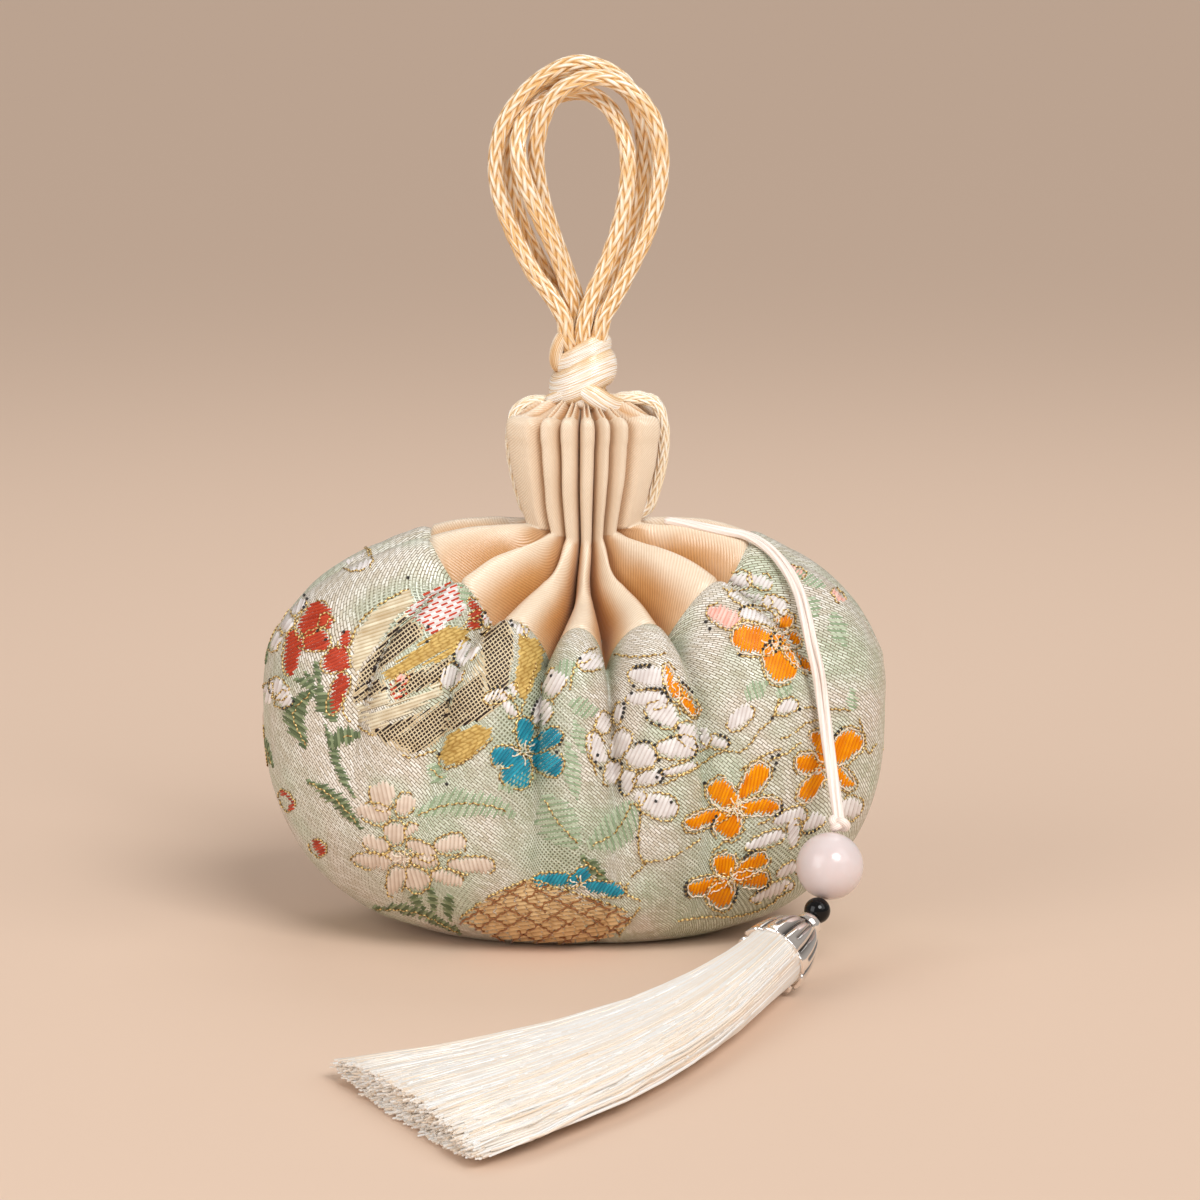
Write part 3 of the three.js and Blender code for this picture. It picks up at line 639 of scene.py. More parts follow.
def plump(piece):
    # the stuffed cloth settles under a little pressure, held at its base and along the seam
    mesh = piece.data
    start = [vert.co.copy() for vert in mesh.vertices]
    seamEdge = {key for key, faces in edgeUse(mesh).items() if faces == 1}
    seamVerts = [start[i] for i in {i for key in seamEdge for i in key}]
    held = piece.vertex_groups.new(name="held")
    nearSeam = KDTree(len(seamVerts))
    for i, co in enumerate(seamVerts):
        nearSeam.insert(co, i)
    nearSeam.balance()
    for vert in mesh.vertices:
        away = nearSeam.find(vert.co)[2]
        bySeam = 1 - smooth(away / (pouch["heldSeam"] * mm))
        byBase = 1 - smooth(vert.co.z / (pouch["heldBase"] * mm))
        held.add([vert.index], max(bySeam, byBase), "REPLACE")
    cloth = piece.modifiers.new("settle", "CLOTH")
    cloth.settings.vertex_group_mass = "held"
    cloth.settings.use_pressure = True
    cloth.settings.uniform_pressure_force = pouch["pressure"]
    cloth.settings.shrink_min = -pouch["slack"]
    cloth.settings.effector_weights.gravity = 0
    cloth.settings.quality = pouch["quality"]
    cloth.collision_settings.use_collision = False
    cloth.point_cache.frame_end = pouch["frames"]
    for step in range(1, pouch["frames"] + 1):
        bpy.context.scene.frame_set(step)
    moved = piece.evaluated_get(bpy.context.evaluated_depsgraph_get()).data.vertices
    reach = pouch["mostMove"] * mm
    for vert, first, last in zip(mesh.vertices, start, [vert.co.copy() for vert in moved]):
        move = last - first
        vert.co = first + move * (reach * math.tanh(move.length / reach) / max(move.length, 1e-9))
        vert.co.z = max(vert.co.z, 0.0)
    piece.modifiers.clear()
    piece.vertex_groups.clear()
    bpy.context.scene.frame_set(1)
    print("the pouch's cloth has settled")


def edgeUse(mesh):
    # how many faces share each edge
    use = {}
    for face in mesh.polygons:
        for key in face.edge_keys:
            use[key] = use.get(key, 0) + 1
    return use


# satin collar

def collarShoulder(pleat, share):
    # share: 1 at the seam, 0 at the neck; past 1 it runs on under the brocade
    seam = seamSpread(pleatAngle(pouch["valleys"], pleat))
    neck = ovalRadius(pleatAngle(collar["valleys"], pleat), collar["neckWidth"] / 2,
                      collar["neckDepth"] / 2, collar["roundness"])
    settle = smooth(share / collar["tubesTo"])
    fold = lerp(columnFold(pleat, neck), knifeFold(pleat), settle)      # packed tubes open to knife folds
    puffed = clamp((share - collar["puffsFrom"]) / (collar["puffsTo"] - collar["puffsFrom"]))
    fold = lerp(fold, puffFold(pleat), puffed)      # and those to round puffs
    depth = lerp(collar["neckFold"], pouch["seamFold"], smooth(share / collar["deepAt"]))
    tucked = smooth((share - collar["tuckFrom"]) / (collar["underlap"] - collar["tuckFrom"]))
    return shoulderPoint(pleat, share * seam, -depth * fold - collar["tuck"] * tucked, 1 - settle)


def rufflePoint(pleat, halfWidth, halfDepth, height, fold, drop=0.0):
    angle = pleatAngle(collar["valleys"], pleat)
    oval = ovalRadius(angle, halfWidth, halfDepth, collar["roundness"])
    full = ovalRadius(angle, collar["width"] / 2, collar["depth"] / 2, collar["roundness"])
    crease = columnFold(pleat, full)
    radius = oval - fold * crease
    x = collar["neckOffset"] + radius * math.cos(angle)
    return Vector((x, radius * math.sin(angle), height - drop * crease)) * mm


def collarTop(pleat, share):
    # the gathered top of the ruffle; share: 1 at the hem, 0 in the middle
    inner = lerp(collar["topMiddle"], collar["topEdge"], share)
    height = collar["neckHeight"] + collar["height"] + collar["hem"]
    height -= collar["topDip"] * math.sin(math.pi * share ** 1.5)
    height += collar["climb"] * smooth((1 - share) / 0.7)
    height += collar["gather"] * 4 * share * (1 - share) * math.cos(collar["gathers"] * fullTurn * pleat)
    fromGroove = abs((pleat + pleatCount / 4) % (pleatCount / 2) - pleatCount / 4)
    bySide = smooth(1 - fromGroove / collar["sideLiftWidth"])
    height += collar["sideLift"] * math.sin(math.pi * share ** 3) * bySide      # up to the drawstrings
    return rufflePoint(pleat, inner * collar["width"] / 2, inner * collar["depth"] / 2, height,
                       collar["fold"] * share, lerp(collar["middleDrop"], collar["topDrop"], share))


def collarSurface(u, v):
    # v: 0 at the seam, 1 at the neck, 2 at the rim, 3 past the hem, 4 in the middle of the top
    pleat = u * pleatCount
    if v < 1:
        return collarShoulder(pleat, collar["underlap"] * (1 - v))
    upTo = collar["height"] - collar["hemDrop"]
    if v <= 2:
        share = v - 1
        flare = math.sin(share * math.pi / 2)
        hem = collar["hemOut"] * smooth((share - 0.8) / 0.1)
        halfWidth = lerp(collar["neckWidth"], collar["width"], flare) / 2 + hem
        halfDepth = lerp(collar["neckDepth"], collar["depth"], flare) / 2 + hem
        fold = lerp(collar["neckFold"], collar["fold"], share)
        return rufflePoint(pleat, halfWidth, halfDepth, collar["neckHeight"] + upTo * share, fold,
                           collar["topDrop"] * share ** 4)
    if v <= 3:
        bend = (v - 2) * math.pi / 2
        out = collar["hemOut"] - collar["hemInset"] * (1 - math.cos(bend))
        height = collar["neckHeight"] + upTo + collar["hemLift"] * math.sin(bend)
        return rufflePoint(pleat, collar["width"] / 2 + out, collar["depth"] / 2 + out, height,
                           collar["fold"], collar["topDrop"])
    return collarTop(pleat, 4 - v)


def makeCollar(cloth):
    bm = bmesh.new()
    rows = [collar["shoulderRows"], collar["ruffleRows"], collar["hemRows"], collar["topRows"]]
    stations = [i + j / count for i, count in enumerate(rows) for j in range(count)] + [4]
    columns = pleatCount * collar["pleatColumns"]
    last = len(stations) - 1

    def place(u, v):
        station = stations[round(v * last)]
        point = collarSurface(u % 1, station)
        angle = pleatAngle(collar["valleys"], u % 1 * pleatCount)
        near = smooth(1 - (1 - station) / 0.75) if station < 1 else smooth(2 - station)
        point.z -= collar["sag"] * mm * math.sin(angle) ** 2 * near      # the pinch sags in front and behind
        out = Vector((point.x - collar["neckOffset"] * mm, point.y, 0.01)).normalized()
        along = Vector((-out.y, out.x, 0))
        loose = collar["slack"] * mm * smooth((2 - station) / 0.5)
        sway = unevenness(point + upright * 0.1, collar["swaySpan"], 2) * smooth(station / 0.3)
        wrinkle = unevenness(point, collar["slackSpan"], 2)
        return point + (out * wrinkle + along * collar["sway"] * sway) * loose

    # painted shade: how much the satin darkens in the top's gather dips, the columns' creases and the
    # shoulder's fold flanks
    def paintedCreaseShade(u, v):
        station = stations[round(v * last)]
        pleat = u % 1 * pleatCount
        if station > 3:
            return collar["topPaintedShade"] * (1 - math.cos(collar["gathers"] * fullTurn * u * pleatCount))
        if station >= 1:
            return collar["columnPaintedShade"] * columnFold(pleat, collar["depth"] / 2)
        flank = smooth((knifeFold(pleat) - 0.06) / 0.6)
        least, more = collar["flankPaintedShade"]
        return flank * (least + more * math.sin(math.pi * station))
    lengths = clothLengths(place, columns, last, collar["shoulderRows"] // 3)
    gridPatch(bm, columns, last, place, lengths, marks=("crease", paintedCreaseShade))
    return makePiece("satin_ruffle", bm, [cloth], replaces=["satin_collar"], closed=False)


# cords: the routes of the solids, repeated from the knot's top and from the rim's middle

cords = {
    "diameter": 3.2, "strands": 10, "pitch": 40, "strandWidth": 0.95, "strandHeight": 0.8, "weaveDepth": 0.12,
    "step": 1.0, "sides": 8, "sunk": 3, "sunkInset": 0.6, "drawstring": 2.3, "drawstringSpacing": 2.8,
    "tones": {   # painted highlight, the strands' colour, and the dark of painted shade
        "ivoryBraid": ((255, 251, 236), (238, 194, 128), (188, 122, 50)),
        "paleBraid": ((255, 253, 246), (252, 234, 200), (216, 168, 106)),
        "ivorySatinCord": ((255, 253, 246), (252, 231, 196), (214, 160, 94)),
    },
}
rimMiddle = Vector((1.6, 0, 96))
knotTop = Vector((1.6, 0, 110.8))
handleRoutes = [
    [
        (-3.1, -2.7, 0.4), (-3.4, -2.7, 3), (-6, -2.4, 7.5), (-9, -2, 11.5), (-13, -1.4, 19.5),
        (-15.5, -1, 27), (-15.7, -0.6, 33), (-14.4, -0.3, 38.4), (-11, -0.2, 43.5), (-6.5, 0, 47.3),
        (-1.4, 0, 49.4), (3.6, 0.4, 48.5), (7.8, 1.2, 45.5), (10.2, 1.9, 40), (11.2, 2, 33.5),
        (10.6, 1.8, 26), (8.4, 1.5, 19), (5.6, 1, 12.5), (3.2, 0.5, 7), (1.8, 0.1, 3), (1.55, 0, 0.4),
    ],
    [
        (0, 2.7, 0.4), (-0.3, 2.7, 3), (-1.4, 2.4, 7), (-3.2, 2, 12), (-5.4, 1.6, 18),
        (-7.5, 0.9, 25), (-8.5, -0.4, 31.5), (-8, -2, 37), (-6.2, -2.9, 42), (-3, -3.3, 45.3),
        (1.8, -3.4, 46.9), (6.5, -3.3, 46), (10.5, -3.1, 42.9), (13.4, -2.8, 37.9), (14.2, -2.7, 31.4),
        (13.5, -2.6, 25.4), (11.7, -2.6, 19), (8.8, -2.6, 12.8), (5.8, -2.7, 7), (3.6, -2.7, 3),
        (3.1, -2.7, 0.4),
    ],
    [
        (-1.55, 0, 0.4), (-1.7, -0.1, 3), (-2.6, -0.8, 8), (-4.6, -2, 14.5), (-7.6, -3.4, 21.2),
        (-10.6, -4, 28.3), (-11.8, -3.7, 33.5), (-11.3, -1.6, 37.5), (-9.6, 1.4, 40.6), (-6.6, 2.5, 42.8),
        (-3.4, 2.6, 43.8), (0, 2.4, 44.1), (3.6, 1.8, 42.4), (6.6, 0.4, 38.4), (8.1, -0.9, 33),
        (8, -1.5, 27), (6.6, -1.9, 20), (4.4, -2.3, 13.5), (2, -2.6, 8), (0.4, -2.7, 3.4), (0, -2.7, 0.4),
    ],
    [
        (-3.1, 2.7, 0.4), (-3.5, 2.8, 3), (-5.4, 3, 8), (-8.2, 3.2, 13.5), (-11.3, 3.3, 20),
        (-13.3, 3.4, 27), (-13.7, 3.6, 33), (-12.4, 4.2, 38.5), (-9.2, 5.1, 43.4), (-4, 5.4, 46.4),
        (1, 5.4, 47.2), (6, 5.2, 45.8), (10, 5.1, 42), (12.6, 5, 36.5), (13.2, 4.9, 30),
        (12.2, 4.6, 23.5), (9.8, 4.2, 17), (7, 3.6, 11), (4.6, 3, 6), (3.3, 2.7, 3), (3.1, 2.7, 0.4),
    ],
]
# x and z from the rim's middle, for a strand in front and one behind; the ends run out of sight
drawstringRoutes = {
    "left": [
        (-2.6, 2.6), (-5.8, 2.4), (-7.8, 2.5), (-10.2, 2.2), (-12.4, 0.5), (-13.2, -3), (-13.1, -7),
        (-12.4, -11), (-11.5, -14.5), (-10.5, -17.2), (-8.4, -18.6),
    ],
    "right": [
        (2.2, 2.2), (5, 2.4), (7.2, 3), (10.3, 3.2), (13.4, 2.1), (14.7, -1.6), (14.8, -5.5), (14.2, -10),
        (13.1, -14), (11.9, -17.2), (9.4, -18.6),
    ],
}


def braidAlong(bm, route, diameter):
    # two sets of flat strands bent round the cord, that wind against each other, over two and under two
    scale = diameter / cords["diameter"] * mm
    strands = cords["strands"]
    frames = routeFrames(route)
    travelled = [0.0]
    for p, q in zip(route, route[1:]):
        travelled.append(travelled[-1] + (q - p).length)
    halfWidth = cords["strandWidth"] / 2 * scale
    thick = cords["strandHeight"] / 2 * scale
    radius = diameter / 2 * mm - thick
    winding = fullTurn / (cords["pitch"] * scale)
    last = len(frames) + 1        # a flat cap at each end takes one more row
    flat = (2 * cords["strandWidth"], travelled[-1] / mm)
    for k in range(2 * strands):
        way = 1 if k < strands else -1
        first = math.pi * k - math.pi / 4 if way > 0 else math.pi * k + 5 * math.pi / 4

        def height(along):       # 1 where the strand lies on top, -1 where it dives under
            return math.cos(strands * winding * along / 2 + first)

        def place(u, v):
            row = round(v * last)
            i = min(max(row - 1, 0), last - 2)
            middle, ahead, side, lift = frames[i]
            full = 0 if row in (0, last) else 1
            angle = way * winding * travelled[i] + fullTurn * k / strands
            angle -= full * halfWidth / radius * math.cos(u * fullTurn)
            over = (height(travelled[i]) - 1) * cords["weaveDepth"] * scale
            reach = radius + over + full * thick * math.sin(u * fullTurn)
            return middle + (side * math.cos(angle) + lift * math.sin(angle)) * reach

        # painted highlight on a strand's outer face where it lies on top, painted shade where it dives under
        def paintedGlint(u, v):
            along = travelled[min(max(round(v * last) - 1, 0), last - 2)]
            return clamp(math.sin(u * fullTurn)) * (1 + height(along)) / 2
        gridPatch(bm, cords["sides"], last, place, flat, marks=("paintedGlint", paintedGlint))


def makeCords(braid, stringBraid):
    for i, points in enumerate(handleRoutes):
        inset = cords["sunkInset"]      # the ends lean together, out of sight in the knot
        ends = [(inset * x, inset * y, -cords["sunk"]) for x, y, _ in (points[0], points[-1])]
        points = [Vector(point) + knotTop for point in [ends[0], *points, ends[1]]]
        route = smoothRoute([point * mm for point in points], cords["step"] * mm)
        bm = bmesh.new()
        braidAlong(bm, route, cords["diameter"])
        loop = makePiece(f"hanging_loop_{i + 1}", bm, [braid],
                         replaces=[f"handle_loop_{i + 1}"])
        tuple(route[0])
        routeLength(route)
    for side, points in drawstringRoutes.items():
        for end, way in (("front", -1), ("back", 1)):
            flat = [Vector((x, way * cords["drawstringSpacing"] / 2, z)) + rimMiddle for x, z in points]
            route = smoothRoute([point * mm for point in flat], cords["step"] * mm)
            bm = bmesh.new()
            braidAlong(bm, route, cords["drawstring"])
            string = makePiece(f"drawstring_end_{side}_{end}", bm, [stringBraid],
                               replaces=[f"drawstring_{side}_{end}"])
            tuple(route[0])
            routeLength(route)


def braidMaterial(name, strand):
    # glossy filaments, with painted shade along a strand's edges and where it dives under, and painted
    # highlights as bright streaks along it
    paintedGlint, light, dark = (tone(*shade) for shade in cords["tones"][name])
    material = newMaterial(name, light, 0.22, Anisotropic=0.5, Specular_IOR_Level=0.9)
    feed(material, "Tangent", addNode(material, "ShaderNodeTangent", direction_type="UV_MAP"))
    places = uvPlaces(material)
    # a ridge across each strand, for the bump and for painted shade along its edges
    crown = combine(material, "POWER", threadLines(material, places, strand), 0.6)
    streaks = addNode(material, "ShaderNodeMapping", {"Vector": places, "Scale": (4.5, 0.14, 1)})
    patches = clouds(material, streaks, 1.0)
    # painted highlights and painted shade from the mesh's value
    height = mark(material, "paintedGlint")
    raised = stretch(material, height, 0.45, 0.9)
    share = combine(material, "MULTIPLY", stretch(material, patches, 0.36, 0.56), raised)
    out = stretch(material, height, 0, 0.5, 0.4)
    flank = blendColours(material, combine(material, "MULTIPLY", crown, out), dark, light)
    dye(material, share, flank, paintedGlint)
    emboss(material, combine(material, "ADD", crown, patches), 0.0001, 0.6)
    return material


satin = {   # each colour on a crest, and darker with painted shade in a crease
    "colour": tone(238, 214, 182), "roughness": 0.3, "turn": 62, "twill": 0.00052,
    "slubs": 900.0, "twillShare": 0.6, "depth": 0.00009,
    "low": (tone(222, 198, 168), tone(180, 120, 58)), "high": (tone(244, 228, 206), tone(212, 156, 88)),
}


def satinMaterial():
    material = newMaterial("creamSatin", satin["colour"], satin["roughness"], Sheen_Weight=0.25,
                           Sheen_Roughness=0.4)
    places = uvPlaces(material, satin["turn"])
    twill = threadLines(material, places, satin["twill"], "X", 0.5)
    grain = weigh(material, satin["twillShare"], twill, clouds(material, places, satin["slubs"], 3.0))
    # painted shade: the crease value darkens the satin in its folds
    crease = mark(material, "crease")
    low, high = (blendColours(material, crease, *satin[name]) for name in ("low", "high"))
    dye(material, grain, low, high)
    emboss(material, grain, satin["depth"], 0.7)
    return material


brocade = {
    "colour": tone(222, 220, 208), "roughness": 0.26, "turn": 40, "slackScale": 260.0, "slack": 0.0006,
    "stitch": 0.0016, "row": 0.0005, "gap": 0.0001, "meshTurn": 38, "mesh": 0.0007, "drift": 62.0,
    "depth": 0.00014,
    "light": (tone(250, 246, 238), tone(226, 234, 214), tone(214, 221, 200)),      # silver, greener, sage
    "middle": (tone(214, 203, 184), tone(190, 200, 174), tone(180, 189, 164)),
    "low": (tone(126, 108, 78), tone(104, 106, 78)),      # silver and sage
}


def brocadeMaterial():
    # short floats in staggered rows on the silver ground, an open mesh on the sage one
    material = newMaterial("silverSageBrocade", brocade["colour"], brocade["roughness"],
                           Specular_IOR_Level=0.7)
    places = uvPlaces(material, brocade["turn"])
    slack = clouds(material, places, brocade["slackScale"]).node.outputs["Color"]
    slack = addNode(material, "ShaderNodeVectorMath", {0: slack, "Scale": brocade["slack"]},
                    operation="SCALE")
    places = addNode(material, "ShaderNodeVectorMath", {0: places, 1: slack}, operation="ADD")
    stitch = addNode(material, "ShaderNodeTexBrick", {
        "Vector": places, "Scale": 1.0, "Brick Width": brocade["stitch"], "Row Height": brocade["row"],
        "Mortar Size": brocade["gap"], "Mortar Smooth": 1.0,
        "Color1": (1, 1, 1, 1), "Color2": (0, 0, 0, 1), "Mortar": (0, 0, 0, 1),
    }).node
    ridge = combine(material, "SUBTRACT", 1.0, stitch.outputs["Fac"])
    crossed = uvPlaces(material, brocade["meshTurn"])
    warp, weft = (threadLines(material, crossed, brocade["mesh"], way) for way in "XY")
    mesh = stretch(material, combine(material, "MAXIMUM", warp, weft), 0.3, 0.8)
    sage = mark(material, "sage")
    height = blendColours(material, sage, ridge, mesh)
    drift = stretch(material, clouds(material, objectPlaces(material), brocade["drift"]), 0.42, 0.62)

    def ground(silver, greener, sageTone):
        return blendColours(material, sage, blendColours(material, drift, silver, greener), sageTone)
    middle, light = ground(*brocade["middle"]), ground(*brocade["light"])
    floats = blendColours(material, stitch.outputs["Color"], middle, light)
    low = blendColours(material, sage, *brocade["low"])
    dye(material, height, low, floats)
    emboss(material, height, brocade["depth"], 0.8)
    return material


# knot: bands of packed cord wound round a barrel

knot = {
    "lift": 0.8, "height": 12.6, "barrel": 4.6, "strands": 46, "filament": 0.25, "groove": 0.035,
    "step": 0.45, "barrelColumns": 108, "barrelRows": 20, "barrelPaintedGlint": 0.4,
    "barrelFoot": 0.6, "barrelTaper": 0.16, "barrelCords": 9, "barrelTwist": 2.2, "barrelGroove": 0.06,
    "bands": [   # height over the foot, radius, half width, half thickness, rise to the right in degrees
        (2.6, 3.8, 2.0, 1.5, -16), (6.3, 4.6, 3.3, 1.7, 31), (10.6, 3.8, 2.2, 1.5, 33),
    ],
    "turns": [   # half width, half thickness, route from the foot: over the top, and the drawstrings' roots
        (1.6, 1.2, [(-4.3, -0.4, 7.6), (-5, -1.8, 9.6), (-4.7, -2.6, 12), (-3.4, -2.4, 14.4),
                    (-1.8, -1.4, 15.2)]),
        (2.0, 1.5, [(-0.8, -4.6, 5.0), (1.6, -5.3, 3.6), (3.6, -4.9, 2.2), (5.4, -3.7, 1.3),
                    (7.2, -2.2, 1.3)]),
        (1.2, 1.0, [(-1.2, -4.0, 4.8), (-3.2, -4.0, 3.7), (-5.0, -3.1, 2.7), (-6.8, -2.0, 2.2)]),
    ],
}


def wrapBand(bm, frames, halfWidth, halfHeight, strands, closedLoop=False, taper=0.0):
    # a flattened band of packed strands, with a fine groove between each two
    last = len(frames) - 1
    length = routeLength([middle for middle, *_ in frames]) / mm

    def place(u, v):
        i = round(v * last)
        middle, ahead, side, lift = frames[0 if closedLoop and i == last else i]
        share = 1 - taper * abs(2 * i / last - 1) ** 3
        if not closedLoop and i in (0, last):
            share = 0
        angle = -u * fullTurn
        groove = 1 - knot["groove"] * abs(math.cos(strands * angle / 2))
        out = side * halfWidth * math.cos(angle) + lift * halfHeight * math.sin(angle)
        return middle + out * groove * share * mm

    def paintedGlint(u, v):         # painted highlight: a ring shines on its outside, an open turn on both its faces; painted shade elsewhere
        return clamp(math.sin(-u * fullTurn)) if closedLoop else abs(math.sin(u * fullTurn))
    gridPatch(bm, strands * 2, last, place, (strands * knot["filament"], length), marks=("paintedGlint", paintedGlint))


def ringFrames(middle, radius, rise, rings=72):
    # a tilted ring round an upright axis, its frames facing outwards, that starts and ends at the back
    frames = []
    for i in range(rings + 1):
        angle = math.pi / 2 + fullTurn * (i % rings) / rings
        out = Vector((math.cos(angle), math.sin(angle), 0))
        slope = math.tan(math.radians(rise)) * (0.7 - 0.3 * math.sin(angle))
        around = Vector((-math.sin(angle), math.cos(angle), -slope * math.sin(angle))).normalized()
        frames.append(((middle + out * radius + upright * slope * radius * math.cos(angle)) * mm, around,
                       around.cross(out).normalized(), out))
    return frames


def makeKnot(braid):
    bm = bmesh.new()
    foot = Vector((rimMiddle.x, 0, rimMiddle.z + knot["lift"]))

    def barrel(u, v):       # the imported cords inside, narrow at the foot
        angle = u * fullTurn
        swell = math.sin(math.pi * min(0.5, v * 0.9))
        bulge = lerp(knot["barrelFoot"], 1, swell) - knot["barrelTaper"] * smooth((v - 0.7) / 0.3)
        strand = math.sin(knot["barrelCords"] * angle + knot["barrelTwist"] * v)
        radius = knot["barrel"] * bulge * (1 - knot["barrelGroove"] * abs(strand))
        return (foot + polar(0 if v in (0, 1) else radius, angle, knot["height"] * v)) * mm
    # the barrel gets a low value, so it is painted darker, with painted shade
    gridPatch(bm, knot["barrelColumns"], knot["barrelRows"], barrel, (18, knot["height"]),
              marks=("paintedGlint", lambda u, v: knot["barrelPaintedGlint"]))
    for height, radius, halfWidth, halfHeight, rise in knot["bands"]:
        frames = ringFrames(foot + upright * height, radius, rise)
        wrapBand(bm, frames, halfWidth, halfHeight, knot["strands"], closedLoop=True)
    for halfWidth, halfHeight, points in knot["turns"]:
        route = smoothRoute([(foot + Vector(point)) * mm for point in points], knot["step"] * mm)
        wrapBand(bm, routeFrames(route, upright), halfWidth, halfHeight, knot["strands"] // 2, taper=0.4)
    return makePiece("wrapped_knot", bm, [braid], replaces=["cord_knot"])


# pendant: where its pieces hang, worked out upwards from the cap that lies on the table

pendant = {
    "cord": 1.25, "plies": 6, "plyPitch": 70, "spacing": 1.4, "step": 0.6, "sag": 0.5, "sunk": 0.1,
    "string": 0.9, "stringPlies": 2, "stringPitch": 2.2, "stringStep": 0.5, "bore": 1.7, "gap": 0.3,
    "plyReach": 0.26, "plyWidth": 0.25, "plyHeight": 0.27,      # shares of the cord's diameter
    "knotHeight": 3, "trefoil": (0.5, 0.676, 0.33), "trefoilCord": 0.75, "trefoilStrands": 12,
    "rose": 12, "roseRings": 40, "black": 4.7, "blackRings": 28,
    "beadHeading": 240, "beadDrop": 64, "capHeading": 235, "capDrop": 18, "capInset": 23, "capForward": 19,
    "capLength": 14, "capRim": 12.8, "capCollar": 4.8, "capCollarLength": 2.4, "capWall": 0.7, "capLobes": 9,
    "capLobeColumns": 26, "capFlute": 0.55, "capLip": 0.8, "capBelly": 0.32, "capFlare": 0.35,
    "slotDepth": 0.3, "slotFrom": 0.18, "slotTo": 0.86, "slotWidth": 0.07,
    "paintedSlotWidth": 0.09, "lipFrom": 0.86,
    "route": [   # pleat number and spread from neck to belly
        (13.6, 0.1), (13.52, 0.18), (13.49, 0.28), (13.5, 0.36), (13.5, 0.44), (13.4, 0.55),
        (13.26, 0.66), (13.13, 0.76), (13, 0.85), (12.93, 0.91), (12.9, 0.96), (12.89, 0.985),
    ],
}


def heading(turned, drop):
    level = math.cos(math.radians(drop))
    angle = math.radians(turned)
    return Vector((level * math.cos(angle), level * math.sin(angle), -math.sin(math.radians(drop))))


beadAxis = heading(pendant["beadHeading"], pendant["beadDrop"])
capAxis = heading(pendant["capHeading"], pendant["capDrop"])
spacerAxis = (beadAxis + capAxis).normalized()
capRim = Vector((
    pouch["width"] / 2 - pendant["capInset"], -pouch["depth"] / 2 - pendant["capForward"],
    pendant["capRim"] / 2 * math.cos(math.radians(pendant["capDrop"])) + pendant["gap"],
))
capTop = capRim - capAxis * pendant["capLength"]
spacerExit = capTop - capAxis * pendant["gap"]
spacerMiddle = spacerExit - spacerAxis * pendant["black"] / 2
spacerEntry = spacerMiddle - spacerAxis * pendant["black"] / 2
roseMiddle = spacerEntry - beadAxis * (pendant["gap"] + pendant["rose"] / 2)
stopMiddle = roseMiddle - beadAxis * (pendant["rose"] / 2 + pendant["gap"] + pendant["knotHeight"] / 2)


def axisFrame(axis, middle):
    # places a piece made upright, with its axis along Z, on a slanting axis
    return Matrix.Translation(middle * mm) @ (-axis).to_track_quat("Z", "Y").to_matrix().to_4x4()


def pendantRoute(side):
    nudge = 0.05
    points = []
    for pleat, spread in pendant["route"]:
        standOff = pendant["cord"] / 2 + pendant["gap"]
        standOff *= lerp(pendant["sunk"], 1, smooth((spread - 0.3) / 0.2))
        before, after = (shoulderPoint(pleat + way * nudge, spread, standOff) for way in (-1, 1))
        aside = side * nudge * pendant["spacing"] * mm / (after - before).length
        points.append(shoulderPoint(pleat + aside, spread, standOff))
    across = upright.cross(beadAxis).normalized()
    end = (stopMiddle - beadAxis * pendant["knotHeight"] / 6 + across * side * pendant["spacing"] / 3) * mm
    leave = points[-1]
    for share in (0.35, 0.7):
        points.append(lerp(leave, end, share) - upright * pendant["sag"] * mm * 4 * share * (1 - share))
    return smoothRoute([*points, end], pendant["step"] * mm)


def twistAlong(bm, route, diameter, plies, pitch, sides=7):
    # plies wound round each other
    frames = routeFrames(route)
    step = routeLength(route) / (len(route) - 1)
    sizes = ("plyReach", "plyWidth", "plyHeight")
    reach, halfWidth, halfHeight = (pendant[name] * diameter * mm for name in sizes)
    for k in range(plies):
        def offset(i):
            angle = fullTurn * (i * step / (pitch * mm) + k / plies)
            return reach * math.cos(angle), reach * math.sin(angle), angle
        tubeAlong(bm, frames, offset, lambda i: (halfWidth, halfHeight), sides, (1, routeLength(route) / mm))


def trefoilRoute(turns=96):
    # the stop knot's cord: three lobes that pass over and under each other, round the bead's axis
    place = axisFrame(beadAxis, stopMiddle)
    across, deep, high = pendant["trefoil"]
    route = []
    for i in range(turns + 1):
        t = fullTurn * i / turns
        x, z = math.cos(t) - 2 * math.cos(2 * t), math.sin(t) + 2 * math.sin(2 * t)
        route.append(place @ (Vector((across * x, -deep * math.sin(3 * t), high * z)) * mm))
    return route


def makePendantCords(thread):
    bm = bmesh.new()
    half = pendant["trefoilCord"]
    frames = routeFrames(trefoilRoute(), beadAxis)
    wrapBand(bm, frames, half, half, pendant["trefoilStrands"], closedLoop=True)
    stopKnot = makePiece("stop_knot", bm, [thread], replaces=["pendant_knot"])
    for number, side in ((1, -1), (2, 1)):
        route = pendantRoute(side)
        bm = bmesh.new()
        twistAlong(bm, route, pendant["cord"], pendant["plies"], pendant["plyPitch"])
        strand = makePiece(f"pendant_strand_{number}", bm, [thread],
                           replaces=[f"pendant_cord_{number}"])
        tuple(route[0])
        routeLength(route)
    start = stopMiddle + beadAxis * (pendant["knotHeight"] / 2 + pendant["gap"])
    headTop = pendant["capCollarLength"] + 4 * pendant["capWall"] - pendant["gap"]
    points = [
        start, roseMiddle, roseMiddle + beadAxis * pendant["rose"] / 2, spacerEntry, spacerMiddle, spacerExit,
        capTop + capAxis * pendant["capCollarLength"] / 2, capTop + capAxis * headTop,
    ]
    route = smoothRoute([point * mm for point in points], pendant["stringStep"] * mm)
    bm = bmesh.new()
    twistAlong(bm, route, pendant["string"], pendant["stringPlies"], pendant["stringPitch"])
    makePiece("bead_thread", bm, [thread], replaces=["bead_string"])


